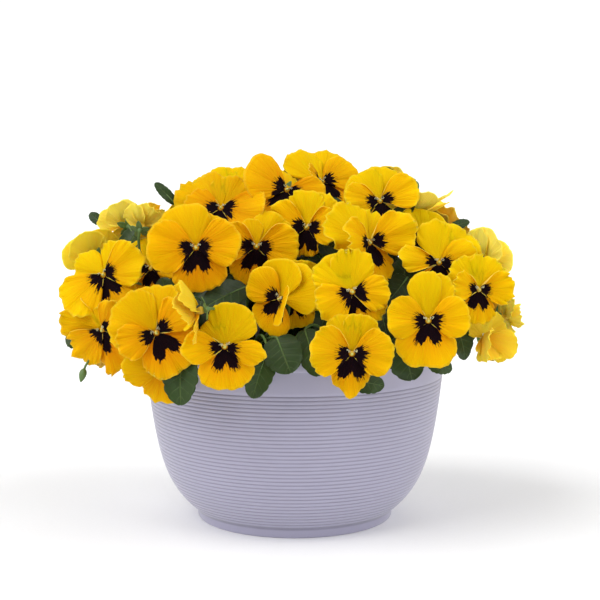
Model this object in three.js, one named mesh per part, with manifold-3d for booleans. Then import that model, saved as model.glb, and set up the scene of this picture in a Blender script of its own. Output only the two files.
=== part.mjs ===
// Potted pansy planter: a ribbed plastic bowl of potting soil with six pansy plants, their
// leaves and stems, and a mound of large yellow blooms with dark faces.
// Millimetres, +Z up. The origin is under the middle of the pot, on the surface it stands on;
// the side seen in the photograph faces -Y.
import * as THREE from "three";
import { mergeVertices } from "three/addons/utils/BufferGeometryUtils.js";
import Module from "manifold-3d";

const wasm = await Module();
wasm.setup();

// Pot
const RIM_RADIUS = 152;
const POT_HEIGHT = 175;
const FOOT_RADIUS = 97;
const WALL = 3;
const RIM_BAND = 10;
const RIM_STANDS_PROUD = 2;
const FOOT_HEIGHT = 8;
const FOOT_WIDTH = 7;
const UNDERSIDE_RECESS = 4;
const CENTRE_PAD_RADIUS = 15;
const RIB_COUNT = 8;
const RIB_RELIEF = 1.4;
const RIBS_TOP = 142;
const POT_SIDES = 22;
const DRAIN_HOLES = 5;
const DRAIN_RADIUS = 4;
const DRAIN_CIRCLE = 60;
const GAP = 0.3;
const WALL_HEIGHTS = [120, 75, 35];

// Soil and the crowns where the plants come out of it
const SOIL_EDGE = 156;
const SOIL_MIDDLE = 161;
const CROWN_CIRCLE = 75;
const CROWN_RADIUS = 10;
const CROWN_BOTTOM = 140;
const CROWN_TOP = 170;
const CROWN_SIDES = 6;
const CROWN_AZIMUTHS = [-36, 36, 108, 180, -108];
const CROWN_TAPER = 0.8;
const MIDDLE_REACH = 95;

// Blooms
const PETAL_THICKNESS = 0.7;
const CLAW_START = 1.6;
const PETAL_FULLNESS = 0.42;
const NOTCH_WIDTH = 0.14;
const HUB_BACK = -7;
const HUB_FRONT = 2.2;
const HUB_RADIUS = 4.2;
const HUB_BACK_RADIUS = 3;
const HUB_SIDES = 3;
const CALYX_LENGTH = 6;
const CALYX_RADIUS = 4.6;
const STEM_RADIUS = 1.7;
const STEM_STEPS = 3;
const NECK_LENGTH = 22;
const LEAST_RISE = 34;
const LEVEL_NECK_HEIGHT = 205;

// Leaves
const LEAF_THICKNESS = 0.8;
const STALK_HALF_WIDTH = 1.4;
const STALK_BEND = 0.55;
const STALK_LIFT = 6;
const SEEN_ARCH = 0.12;
const DRAWN_ARCH = 0.1;
const DRAWN_WIDTH = 0.38;

// Green buds, at the end of stems that nod over
const BUD_RADIUS = 4;
const BUD_STRETCH = 1.7;
const BUDS_SEEN = [
  { at: [-211, 144, 112], over: [-203, 172, 104], crown: 5 },
  { at: [119, 331, -12], over: [116, 354, -22], crown: 3 },
];

// Leaves drawn by the seeded rule: how many for each crown, and the room that they need
const FILL_SEED = 4711;
const FILL_TRIALS = 600;
const FILL_COUNTS = [0, 0, 0, 7, 7, 5];
const BLOOM_ROOM = 7;
const LEAF_ROOM = 8;

// Places are given as they are seen from the front: across and up on the upright plane
// through the pot's axis, then how far forward of that plane the point lies.
const EYE_DISTANCE = 1250;
const EYE_HEIGHT = 335;

// The five petals, from the back layer to the front one: direction of the petal's axis in
// degrees, and the direction towards which it folds; its length as a share of the bloom's
// span; half the angle that it fills; its layer in mm; its fold in degrees, forward being
// positive; and the depth of a notch in its end.
const PETALS = {
  upperRight: { axis: 58, towards: 90, length: 0.53, half: 64, layer: -3.2, fold: -6 },
  upperLeft: { axis: 122, towards: 90, length: 0.53, half: 64, layer: -1.9, fold: -6 },
  lower: { axis: -90, towards: -90, length: 0.5, half: 64, layer: -0.5, fold: -3, notch: 0.05 },
  left: { axis: 172, towards: 172, length: 0.5, half: 54, layer: 1.1, fold: 5 },
  right: { axis: 8, towards: 8, length: 0.5, half: 54, layer: 1.1, fold: 5 },
};

// Blooms in view, from the front of the mound to its top: across, up, forward; yaw to the
// right, pitch up and clockwise roll in degrees; span and cup in mm; then changes to petals.
const BLOOMS_SEEN = [
  { at: [-98, 267, 134], turn: [0, 6, -4], span: 83, cup: 2 },
  { at: [-38, 268, 106], turn: [0, 6, 4], span: 80, cup: 2 },
  { at: [-73, 306, 74], turn: [-8, 36, -4], span: 82, cup: 3 },
  { at: [-8, 324, 60], turn: [18, 26, 28], span: 80, cup: 3, uppers: -38 },
  { at: [27, 336, 14], turn: [18, 34, -10], span: 80, cup: 3, left: { fold: 45 } },
  { at: [13, 290, 98], turn: [-24, 10, 4], span: 78, cup: 4 },
  { at: [84, 313, 82], turn: [8, 20, -10], span: 76, cup: 2, lower: { half: 46 } },
  { at: [74, 272, 124], turn: [30, 10, -4], span: 80, cup: 3, uppers: -22,
    left: { fold: 26 }, right: { fold: 14 } },
  { at: [143, 252, 116], turn: [14, 18, 4], span: 76, cup: 3 },
  { at: [183, 228, 126], turn: [18, 6, 2], span: 66, cup: 2 },
  { at: [133, 194, 166], turn: [6, 4, 0], span: 77, cup: 2 },
  { at: [57, 223, 168], turn: [8, 8, -18], span: 76, cup: 2 },
  { at: [57, 161, 186], turn: [4, 4, 2], span: 78, cup: 2, lower: { half: 50 } },
  { at: [-15, 216, 150], turn: [-30, 4, 26], span: 72, cup: 3, right: { fold: 44 },
    sway: [-26, -12, -42] },
  { at: [0, 219, 122], turn: [-6, 4, 0], span: 66, cup: 3 },
  { at: [-70, 168, 186], turn: [2, 6, -4], span: 78, cup: 3 },
  { at: [-138, 182, 166], turn: [-6, 8, -32], span: 82, cup: 3 },
  { at: [-190, 240, 106], turn: [-22, 12, -30], span: 80, cup: 2, crown: 5, sway: [0, 10, -34] },
  { at: [-192, 185, 122], turn: [-26, -16, -26], span: 74, cup: 2 },
  { at: [-172, 296, 28], turn: [-105, 16, 0], span: 48, cup: 12 },
  { at: [-204, 254, 46], turn: [-116, 6, 10], span: 60, cup: 4 },
  { at: [-150, 290, 63], turn: [165, 35, 0], span: 44, cup: 10, sway: [0, -8, -38] },
  { at: [-112, 209, 188], turn: [-54, -8, -20], span: 44, cup: 7, sway: [-6, 8, -20] },
  { at: [-133, 143, 144], turn: [-10, -16, 4], span: 74, cup: 3, uppers: -42,
    right: { length: 0.42 } },
  { at: [130, 304, 28], turn: [24, 76, 0], span: 64, cup: 8 },
  { at: [130, 280, 70], turn: [12, 14, 6], span: 58, cup: 3 },
  { at: [188, 262, 66], turn: [112, 8, 0], span: 66, cup: 5 },
  { at: [190, 176, 104], turn: [58, -14, 10], span: 60, cup: 8 },
  { at: [214, 198, 70], turn: [98, 6, 0], span: 50, cup: 8 },
  { at: [88, 325, 8], turn: [168, 24, 0], span: 56, cup: 4 },
  { at: [-66, 315, 34], turn: [-6, 38, 0], span: 72, cup: 3, crown: 0 },
  { at: [-143, 246, 67], turn: [-14, 12, -8], span: 66, cup: 3 },
];

// Blooms on the far side, on a mound that fits the near ones: azimuth from the front,
// elevation on the mound, clockwise roll, span.
const MOUND = { width: 214, depth: 182, height: 172, middle: 172 };
const BLOOMS_BEHIND = [
  [88, 24, 8, 76],
  [106, 4, -6, 80],
  [-108, 2, 8, 82],
  [112, 40, 10, 82],
  [-116, 42, -8, 82],
  [-140, 12, 0, 84],
  [170, 4, -10, 84],
  [-168, 30, 12, 84],
  [150, 52, 0, 80],
  [-160, 66, 0, 80],
];

// Leaves in view: base of the blade, tip of the blade, half its width, lift of its stalk.
const LEAVES_SEEN = [
  { base: [-118, 310, 55], tip: [-138, 331, 52], half: 11, crown: 5 },
  { base: [-190, 290, 4], tip: [-203, 301, -6], half: 9, crown: 5 },
  { base: [42, 286, 46], tip: [34, 316, 34], half: 14, crown: 0 },
  { base: [5, 272, 84], tip: [50, 263, 90], half: 13, crown: 2 },
  { base: [-48, 228, 116], tip: [-93, 206, 140], half: 14, crown: 1 },
  { base: [-112, 166, 158], tip: [-115, 108, 168], half: 17, crown: 1, lift: 30 },
  { base: [-27, 165, 162], tip: [-43, 115, 168], half: 13, crown: 1, lift: 30 },
  { base: [-18, 177, 160], tip: [-4, 141, 170], half: 18, crown: 1, lift: 6 },
  { base: [10, 185, 158], tip: [23, 138, 166], half: 13, crown: 2, lift: 20 },
  { base: [55, 135, 172], tip: [90, 128, 172], half: 10, crown: 2, lift: 50 },
  { base: [104, 178, 150], tip: [117, 134, 156], half: 20, crown: 2, lift: 20 },
  { base: [133, 152, 140], tip: [158, 145, 140], half: 8, crown: 2, lift: 40 },
  { base: [85, 205, 138], tip: [95, 163, 146], half: 11, crown: 2 },
  { base: [112, 237, 106], tip: [92, 212, 114], half: 12, crown: 2 },
  { base: [105, 215, 96], tip: [110, 257, 94], half: 18, crown: 2 },
  { base: [103, 330, 46], tip: [85, 345, 44], half: 7, crown: 0 },
  { base: [154, 286, 46], tip: [173, 293, 42], half: 9, crown: 3 },
  { base: [97, 297, 58], tip: [118, 308, 57], half: 7, crown: 0 },
  { base: [-210, 175, 84], tip: [-229, 177, 80], half: 10, crown: 5 },
  { base: [-125, 215, 116], tip: [-132, 237, 112], half: 10, crown: 1 },
];

const radians = (degrees) => degrees * Math.PI / 180;
const vector = (x, y, z) => new THREE.Vector3(x, y, z);

// Point in the planter's own frame of a place given as it is seen from the front.
function seen([across, up, forward]) {
  const nearer = (EYE_DISTANCE - forward) / EYE_DISTANCE;
  return vector(across * nearer, -forward, EYE_HEIGHT + (up - EYE_HEIGHT) * nearer);
}

// Closed geometry as a solid, its shared corners merged.
function solid(geometry) {
  const bare = geometry.index ? geometry.toNonIndexed() : geometry.clone();
  bare.deleteAttribute("normal");
  bare.deleteAttribute("uv");
  const merged = mergeVertices(bare, 1e-4);
  return new wasm.Manifold(new wasm.Mesh({
    numProp: 3,
    vertProperties: new Float32Array(merged.attributes.position.array),
    triVerts: new Uint32Array(merged.index.array),
  }));
}

function geometryOf(body) {
  const { vertProperties, triVerts } = body.getMesh();
  const geometry = new THREE.BufferGeometry();
  geometry.setAttribute("position", new THREE.BufferAttribute(new Float32Array(vertProperties), 3));
  geometry.setIndex(new THREE.BufferAttribute(new Uint32Array(triVerts), 1));
  return geometry;
}

function joined(bodies) {
  return bodies.reduce((whole, body) => whole.add(body));
}

function node(name, body, colour, roughness) {
  const material = new THREE.MeshStandardMaterial({ color: colour, roughness, metalness: 0 });
  const mesh = new THREE.Mesh(geometryOf(body), material);
  mesh.name = name;
  return mesh;
}

// Thin blade from the points of its upper face and the triangles between them; the lower
// face is the same surface moved back by the thickness, so both are split alike. The edge
// lists the outline's points in order, counterclockwise as seen from above.
function blade(points, triangles, edge, thickness) {
  const normals = points.map(() => vector(0, 0, 0));
  for (const [a, b, c] of triangles) {
    const ab = points[b].clone().sub(points[a]);
    const normal = ab.cross(points[c].clone().sub(points[a]));
    for (const corner of [a, b, c]) normals[corner].add(normal);
  }
  const offsets = normals.map((normal) => normal.setLength(thickness / 2));
  const count = points.length;
  const corners = [];
  for (const side of [1, -1]) {
    points.forEach((point, place) => {
      corners.push(...point.clone().addScaledVector(offsets[place], side).toArray());
    });
  }
  const index = [];
  for (const [a, b, c] of triangles) index.push(a, b, c, a + count, c + count, b + count);
  edge.forEach((a, place) => {
    const b = edge[(place + 1) % edge.length];
    index.push(a, a + count, b + count, a, b + count, b);
  });
  const geometry = new THREE.BufferGeometry();
  geometry.setAttribute("position", new THREE.Float32BufferAttribute(corners, 3));
  geometry.setIndex(index);
  return solid(geometry);
}

// Frustum between two points of an axis.
function frustum(from, to, fromRadius, toRadius, sides) {
  const along = to.clone().sub(from);
  const geometry = new THREE.CylinderGeometry(toRadius, fromRadius, along.length(), sides);
  const turn = new THREE.Quaternion().setFromUnitVectors(vector(0, 1, 0), along.clone().normalize());
  geometry.applyQuaternion(turn);
  geometry.translate(...from.clone().add(to).multiplyScalar(0.5).toArray());
  return solid(geometry);
}

// Tube of three sides along a curve.
function stalk(curve, radius, steps) {
  const section = new THREE.Shape();
  for (let corner = 0; corner < 3; corner += 1) {
    const angle = radians(corner * 120);
    const [x, y] = [radius * Math.cos(angle), radius * Math.sin(angle)];
    if (corner === 0) section.moveTo(x, y);
    else section.lineTo(x, y);
  }
  return solid(new THREE.ExtrudeGeometry(section, { steps, extrudePath: curve, bevelEnabled: false }));
}

// Stem of three sides that widens into a calyx at its end, where it is square to `facing`.
function flaredStalk(curve, radius, steps, end, facing, endRadius) {
  const frames = curve.computeFrenetFrames(steps);
  const places = [...curve.getSpacedPoints(steps), end];
  const level = frames.normals[steps].clone().projectOnPlane(facing).normalize();
  frames.normals.push(level);
  frames.binormals.push(facing.clone().cross(level));
  const corners = [];
  places.forEach((place, step) => {
    const reach = step > steps ? endRadius : radius;
    for (let corner = 0; corner < 3; corner += 1) {
      const angle = radians(corner * 120);
      const point = place.clone()
        .addScaledVector(frames.normals[step], reach * Math.cos(angle))
        .addScaledVector(frames.binormals[step], reach * Math.sin(angle));
      corners.push(...point.toArray());
    }
  });
  const index = [0, 2, 1];
  const last = 3 * (places.length - 1);
  index.push(last, last + 1, last + 2);
  for (let step = 0; step + 1 < places.length; step += 1) {
    for (let corner = 0; corner < 3; corner += 1) {
      const [a, b] = [3 * step + corner, 3 * step + (corner + 1) % 3];
      index.push(a, b, b + 3, a, b + 3, a + 3);
    }
  }
  const geometry = new THREE.BufferGeometry();
  geometry.setAttribute("position", new THREE.Float32BufferAttribute(corners, 3));
  geometry.setIndex(index);
  return solid(geometry);
}

// Height of the pot's outer face is followed up a curve that swells out from the foot.
const wallCurve = new THREE.CubicBezierCurve(
  new THREE.Vector2(FOOT_RADIUS + 3, FOOT_HEIGHT + 1.5),
  new THREE.Vector2(RIM_RADIUS - 22, 34),
  new THREE.Vector2(RIM_RADIUS - 12, 62),
  new THREE.Vector2(RIM_RADIUS - RIM_STANDS_PROUD, POT_HEIGHT - 5),
);

// Radius of the outer face at a height.
function wallRadius(height) {
  let [low, high] = [0, 1];
  for (let halving = 0; halving < 24; halving += 1) {
    const middle = (low + high) / 2;
    if (wallCurve.getPoint(middle).y < height) low = middle;
    else high = middle;
  }
  return wallCurve.getPoint(low).x;
}

function makePot() {
  const profile = [[0, 0], [CENTRE_PAD_RADIUS, 0], [CENTRE_PAD_RADIUS, UNDERSIDE_RECESS]];
  profile.push([FOOT_RADIUS - FOOT_WIDTH, UNDERSIDE_RECESS], [FOOT_RADIUS - FOOT_WIDTH, 0]);
  profile.push([FOOT_RADIUS, 0], [FOOT_RADIUS + 1, FOOT_HEIGHT]);
  const pitch = (RIBS_TOP - FOOT_HEIGHT - 1) / RIB_COUNT;
  for (let rib = 0; rib < RIB_COUNT; rib += 1) {
    const groove = FOOT_HEIGHT + 2 + rib * pitch;
    profile.push([wallRadius(groove) - RIB_RELIEF / 2, groove]);
    profile.push([wallRadius(groove + pitch / 2) + RIB_RELIEF / 2, groove + pitch / 2]);
  }
  profile.push([wallRadius(RIBS_TOP) - RIB_RELIEF / 2, RIBS_TOP]);
  profile.push([wallRadius(RIBS_TOP + 4), RIBS_TOP + 4]);
  const rimFoot = POT_HEIGHT - RIM_BAND;
  profile.push([wallRadius(rimFoot), rimFoot], [RIM_RADIUS, rimFoot + 1]);
  profile.push([RIM_RADIUS, POT_HEIGHT - 1.5], [RIM_RADIUS - 1.5, POT_HEIGHT]);
  profile.push([RIM_RADIUS - WALL - RIM_STANDS_PROUD, POT_HEIGHT]);
  for (const height of [rimFoot, ...WALL_HEIGHTS]) {
    profile.push([wallRadius(height) - WALL - 0.5, height]);
  }
  profile.push([FOOT_RADIUS - 4, UNDERSIDE_RECESS + WALL], [0, UNDERSIDE_RECESS + WALL]);
  const points = profile.map(([radius, height]) => new THREE.Vector2(radius, height));
  const lathe = new THREE.LatheGeometry(points, POT_SIDES);
  lathe.rotateX(Math.PI / 2);
  let body = solid(lathe);
  for (let hole = 0; hole < DRAIN_HOLES; hole += 1) {
    const angle = radians(hole * 360 / DRAIN_HOLES);
    const [x, y] = [DRAIN_CIRCLE * Math.cos(angle), DRAIN_CIRCLE * Math.sin(angle)];
    body = body.subtract(frustum(vector(x, y, -5), vector(x, y, 20), DRAIN_RADIUS, DRAIN_RADIUS, 8));
  }
  return body;
}

const crowns = [[0, 0]];
for (const azimuth of CROWN_AZIMUTHS) {
  const angle = radians(azimuth);
  crowns.push([CROWN_CIRCLE * Math.sin(angle), -CROWN_CIRCLE * Math.cos(angle)]);
}

function makeSoil() {
  const floor = UNDERSIDE_RECESS + WALL + GAP;
  const profile = [[0, floor], [FOOT_RADIUS - 4.5, floor]];
  for (const height of [...WALL_HEIGHTS].reverse().concat(SOIL_EDGE)) {
    profile.push([wallRadius(height) - WALL - 0.5 - 2 * GAP, height]);
  }
  profile.push([RIM_RADIUS * 0.6, SOIL_MIDDLE - 1], [0, SOIL_MIDDLE]);
  const lathe = new THREE.LatheGeometry(profile.map(([r, z]) => new THREE.Vector2(r, z)), POT_SIDES);
  lathe.rotateX(Math.PI / 2);
  let body = solid(lathe);
  for (const [x, y] of crowns) {
    const bottom = vector(x, y, CROWN_BOTTOM - GAP);
    const radius = CROWN_RADIUS + 2 * GAP;
    body = body.subtract(frustum(bottom, vector(x, y, CROWN_TOP), radius, radius, CROWN_SIDES));
  }
  return body;
}

// A bloom's own frame: its throat, with axes to its right and up as seen face on, and out
// of its face.
function bloomFrame(row) {
  const [yaw, pitch, roll] = row.turn.map(radians);
  const out = vector(
    Math.sin(yaw) * Math.cos(pitch), -Math.cos(yaw) * Math.cos(pitch), Math.sin(pitch));
  const level = vector(Math.cos(yaw), Math.sin(yaw), 0);
  const upright = out.clone().cross(level);
  const right = level.clone().multiplyScalar(Math.cos(roll)).addScaledVector(upright, -Math.sin(roll));
  const up = level.multiplyScalar(Math.sin(roll)).addScaledVector(upright, Math.cos(roll));
  return { ...row, out, right, up, centre: row.place ?? seen(row.at) };
}

function behind([azimuth, elevation, roll, span]) {
  const [a, e] = [radians(azimuth), radians(elevation)];
  const place = vector(
    MOUND.width * Math.sin(a) * Math.cos(e),
    -MOUND.depth * Math.cos(a) * Math.cos(e),
    MOUND.middle + MOUND.height * Math.sin(e));
  return { place, turn: [azimuth, elevation, roll], span, cup: 3 };
}

const blooms = [...BLOOMS_SEEN, ...BLOOMS_BEHIND.map(behind)].map(bloomFrame);

// Point of a petal in a direction and at a distance from the throat: dished with the bloom's
// cup and folded about a line through the throat.
function petalPoint(bloom, petal, direction, far) {
  const dish = bloom.cup * (far / (bloom.span / 2)) ** 2;
  const [fold, towards] = [radians(petal.fold), radians(petal.towards)];
  const folded = far * Math.cos(radians(direction) - towards);
  const along = folded > 0 ? folded * Math.cos(fold) - dish * Math.sin(fold) : folded;
  const lift = folded > 0 ? folded * Math.sin(fold) + dish * Math.cos(fold) : dish;
  const cross = far * Math.sin(radians(direction) - towards);
  const x = along * Math.cos(towards) - cross * Math.sin(towards);
  const y = along * Math.sin(towards) + cross * Math.cos(towards);
  return bloomPoint(bloom, x, y, lift + petal.layer);
}

// Point of a petal's outline, a rounded fan, at a place from -1 to 1 across it.
function outlinePoint(bloom, petal, side) {
  const direction = petal.axis + petal.half * Math.sin(side * Math.PI / 2);
  const notch = (petal.notch ?? 0) * Math.exp(-((side / NOTCH_WIDTH) ** 2));
  const share = Math.cos(side * Math.PI / 2) ** PETAL_FULLNESS - notch;
  return petalPoint(bloom, petal, direction, bloom.span * petal.length * share);
}

function bloomPoint(bloom, x, y, z) {
  return bloom.centre.clone().addScaledVector(bloom.right, x)
    .addScaledVector(bloom.up, y).addScaledVector(bloom.out, z);
}

// Petal as a blade, split in strips from its claw, sunk in the hub, to its end.
function makePetal(bloom, petal) {
  const sides = petal.notch
    ? [-0.88, -0.5, -0.17, 0, 0.17, 0.5, 0.88]
    : [-0.87, -0.42, 0, 0.42, 0.87];
  const points = sides.map((side) => outlinePoint(bloom, petal, side));
  points.push(petalPoint(bloom, petal, petal.axis, CLAW_START));
  let [low, high] = [0, sides.length - 1];
  const triangles = [[sides.length, low, high]];
  while (high - low > 1) {
    triangles.push([low, low + 1, high]);
    low += 1;
    if (high - low > 1) triangles.push([low, high - 1, high]);
    high -= 1;
  }
  return blade(points, triangles, points.map((_, place) => place), PETAL_THICKNESS);
}

function makeBloom(bloom) {
  const bodies = [frustum(
    bloomPoint(bloom, 0, 0, HUB_BACK), bloomPoint(bloom, 0, 0, HUB_FRONT),
    HUB_BACK_RADIUS, HUB_RADIUS, HUB_SIDES)];
  for (const [name, petal] of Object.entries(PETALS)) {
    const shape = { ...petal, ...(bloom[name] ?? {}) };
    if (name.startsWith("upper") && bloom.uppers) shape.fold = bloom.uppers;
    bodies.push(makePetal(bloom, shape));
  }
  return joined(bodies);
}

// The crown that a bloom grows from: the middle one near the top, else the nearest.
function crownOf(bloom) {
  if (bloom.crown !== undefined) return bloom.crown;
  const { x, y } = bloom.centre;
  if (Math.hypot(x, y) < MIDDLE_REACH) return 0;
  const distances = crowns.map(([cx, cy], place) => (place ? Math.hypot(x - cx, y - cy) : Infinity));
  return distances.indexOf(Math.min(...distances));
}

// Where on a crown's edge a stem or leaf stalk starts, on the side that it grows towards.
function footOf(crown, towards, spread, height) {
  const [x, y] = crowns[crown];
  const side = vector(towards.x - x, towards.y - y, 0).normalize().multiplyScalar(spread);
  return vector(x, y, height).add(side);
}

// A flower stem leaves its crown upright and bends over to the back of its bloom.
function stemCurve(bloom) {
  const head = bloomPoint(bloom, 0, 0, HUB_BACK - GAP - CALYX_LENGTH + 1);
  const foot = footOf(crownOf(bloom), head, CROWN_RADIUS * 0.62, CROWN_TOP - 3);
  const rise = foot.clone().lerp(head, 0.2);
  rise.z = foot.z + Math.max(LEAST_RISE, (head.z - foot.z) * 0.5);
  const drop = Math.min(14, Math.max(-10, (head.z - LEVEL_NECK_HEIGHT) * 0.4));
  const neck = head.clone().addScaledVector(bloom.out, -NECK_LENGTH).add(vector(0, 0, -drop));
  if (bloom.sway) neck.add(vector(...bloom.sway));
  return new THREE.CubicBezierCurve3(foot, rise, neck, head);
}

// Half width of a leaf at shares of its length, in and out again at the notches of its
// scalloped edge.
const LEAF_SHAPE = [[0.1, 0.74], [0.4, 1], [0.74, 0.76]];

// A leaf's frame: its stalk and its rib as curves, and the direction across its blade.
function leafFrame(leaf) {
  const foot = footOf(leaf.crown, leaf.from, CROWN_RADIUS * 0.6, CROWN_TOP - 6);
  const middle = leaf.from.clone().lerp(leaf.to, 0.5).addScaledVector(leaf.facing, leaf.arch);
  const rib = new THREE.QuadraticBezierCurve3(leaf.from, middle, leaf.to);
  const knee = foot.clone().lerp(leaf.from, 0.6);
  knee.z = Math.max(foot.z, leaf.from.z) * 0.5 + knee.z * 0.5 + (leaf.lift ?? STALK_LIFT);
  const stem = new THREE.QuadraticBezierCurve3(foot, knee, leaf.from);
  const across = leaf.to.clone().sub(leaf.from).cross(leaf.facing).normalize();
  return { ...leaf, rib, stem, across };
}

function makeLeaf(leaf) {
  const points = [];
  const put = (place, half) => {
    for (const side of [half, -half]) points.push(place.clone().addScaledVector(leaf.across, side));
  };
  put(leaf.stem.getPoint(0), STALK_HALF_WIDTH);
  put(leaf.stem.getPoint(STALK_BEND), STALK_HALF_WIDTH);
  put(leaf.from, STALK_HALF_WIDTH);
  for (const [along, width] of LEAF_SHAPE) put(leaf.rib.getPoint(along), width * leaf.half);
  const tip = points.length;
  points.push(leaf.to.clone());
  const triangles = [];
  for (let k = 0; k + 2 < tip; k += 2) {
    triangles.push([k, k + 2, k + 3], [k, k + 3, k + 1]);
  }
  triangles.push([tip - 2, tip, tip - 1]);
  const edge = [];
  for (let k = 0; k < tip; k += 2) edge.push(k);
  edge.push(tip);
  for (let k = tip - 1; k > 0; k -= 2) edge.push(k);
  return blade(points, triangles, edge, LEAF_THICKNESS);
}

// Outward from the middle of the mound.
function outward(point) {
  return point.clone().sub(vector(0, 0, MOUND.middle - 40)).normalize();
}

// Places on a leaf, and along its stalk, by which its room is judged.
function samples(leaf) {
  const places = [];
  for (const along of [0, 0.25, 0.5, 0.75, 1]) {
    for (const side of [-1, 0, 1]) {
      places.push(leaf.rib.getPoint(along).addScaledVector(leaf.across, side * leaf.half));
    }
  }
  for (const along of [0.4, 0.6, 0.8]) places.push(leaf.stem.getPoint(along));
  return places;
}

function clearOfBlooms(place) {
  return blooms.every((bloom) => {
    const from = place.clone().sub(bloom.centre);
    const height = from.dot(bloom.out);
    const far = Math.hypot(from.dot(bloom.right), from.dot(bloom.up));
    const room = BLOOM_ROOM + (bloom.uppers || bloom.left ? BLOOM_ROOM : 0);
    return far > bloom.span * 0.56 + 2 || Math.abs(height) > room + bloom.cup;
  });
}

function clearOfPot(place) {
  return place.z > POT_HEIGHT + 6 || Math.hypot(place.x, place.y) > RIM_RADIUS + 8;
}

const leaves = LEAVES_SEEN.map((row) => {
  const [from, to] = [seen(row.base), seen(row.tip)];
  const facing = outward(from).add(vector(0, -1, 0.2)).normalize();
  return leafFrame({ ...row, from, to, facing, arch: from.distanceTo(to) * SEEN_ARCH });
});

// The other leaves fill the mound between the blooms, by a seeded draw that is taken where
// the leaf has room.
let seed = FILL_SEED;
function draw(low, high) {
  seed = (seed * 16807) % 2147483647;
  return low + (high - low) * (seed / 2147483647);
}

function drawnLeaf(crown) {
  const azimuth = radians(crown ? CROWN_AZIMUTHS[crown - 1] + draw(-38, 38) : draw(-180, 180));
  const elevation = radians(crown ? draw(-4, 50) : draw(50, 85));
  const depth = draw(0.74, 0.98);
  const turn = radians(draw(-75, 75));
  const long = draw(52, 70);
  const out = vector(
    Math.sin(azimuth) * Math.cos(elevation), -Math.cos(azimuth) * Math.cos(elevation),
    Math.sin(elevation));
  const middle = vector(out.x * MOUND.width, out.y * MOUND.depth, out.z * MOUND.height)
    .multiplyScalar(depth).add(vector(0, 0, MOUND.middle));
  const level = vector(Math.cos(azimuth), Math.sin(azimuth), 0);
  const down = level.clone().cross(out);
  const along = down.multiplyScalar(Math.cos(turn)).addScaledVector(level, Math.sin(turn));
  const way = along.addScaledVector(out, 0.3).normalize();
  const from = middle.clone().addScaledVector(way, -long / 2);
  const to = middle.clone().addScaledVector(way, long / 2);
  return leafFrame({ crown, from, to, facing: out, half: long * DRAWN_WIDTH, arch: long * DRAWN_ARCH });
}

for (const [crown, wanted] of FILL_COUNTS.entries()) {
  let found = 0;
  for (let trial = 0; trial < FILL_TRIALS && found < wanted; trial += 1) {
    const leaf = drawnLeaf(crown);
    const places = samples(leaf);
    const others = leaves.filter((other) => other.crown !== crown).flatMap(samples);
    for (const bloom of blooms) {
      if (crownOf(bloom) !== crown) others.push(...stemCurve(bloom).getPoints(14));
    }
    const near = (place) => others.some((other) => other.distanceTo(place) < LEAF_ROOM);
    if (places.every((place) => clearOfBlooms(place) && clearOfPot(place) && !near(place))) {
      leaves.push(leaf);
      found += 1;
    }
  }
}

function budCurve(bud) {
  const [end, over] = [seen(bud.at), seen(bud.over)];
  const foot = footOf(bud.crown, end, CROWN_RADIUS * 0.4, CROWN_TOP - 4);
  const rise = foot.clone().lerp(end, 0.5);
  rise.z = Math.max((foot.z + end.z) / 2, POT_HEIGHT + 30);
  return new THREE.CubicBezierCurve3(foot, rise, over, end);
}

function makeBud(bud) {
  const curve = budCurve(bud);
  const geometry = new THREE.SphereGeometry(BUD_RADIUS, 5, 4);
  geometry.scale(1, BUD_STRETCH, 1);
  const turn = new THREE.Quaternion().setFromUnitVectors(vector(0, 1, 0), curve.getTangent(1));
  geometry.applyQuaternion(turn);
  const middle = curve.getPoint(1).addScaledVector(curve.getTangent(1), BUD_RADIUS);
  geometry.translate(...middle.toArray());
  return solid(geometry).add(stalk(curve, STEM_RADIUS, STEM_STEPS + 1));
}

function makePlant(crown) {
  const [x, y] = crowns[crown];
  const bodies = [frustum(
    vector(x, y, CROWN_BOTTOM), vector(x, y, CROWN_TOP), CROWN_RADIUS, CROWN_RADIUS * CROWN_TAPER,
    CROWN_SIDES)];
  for (const bloom of blooms) {
    if (crownOf(bloom) !== crown) continue;
    const front = bloomPoint(bloom, 0, 0, HUB_BACK - GAP);
    bodies.push(flaredStalk(
      stemCurve(bloom), STEM_RADIUS, STEM_STEPS, front, bloom.out, CALYX_RADIUS));
  }
  for (const leaf of leaves) {
    if (leaf.crown === crown) bodies.push(makeLeaf(leaf));
  }
  for (const bud of BUDS_SEEN) {
    if (bud.crown === crown) bodies.push(makeBud(bud));
  }
  return joined(bodies);
}

const group = new THREE.Group();
group.add(node("pot", makePot(), 0xaeabc0, 0.55));
group.add(node("soil", makeSoil(), 0x33261d, 0.95));
crowns.forEach((_, crown) => {
  group.add(node(`plant_${crown + 1}`, makePlant(crown), 0x3f5a35, 0.6));
});
blooms.forEach((bloom, place) => {
  const name = `bloom_${String(place + 1).padStart(2, "0")}`;
  group.add(node(name, makeBloom(bloom), 0xffc400, 0.6));
});

export default group;
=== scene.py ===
"""Potted pansy planter: a ribbed lavender-grey bowl of potting mix with six pansy plants and a
mound of large yellow blooms with near-black faces.

Shapes are worked out in millimetres in the part's own frame (+Z up, the origin under the middle
of the pot, -Y towards the front) and put into metres when a mesh is made.
"""
import math

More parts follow.
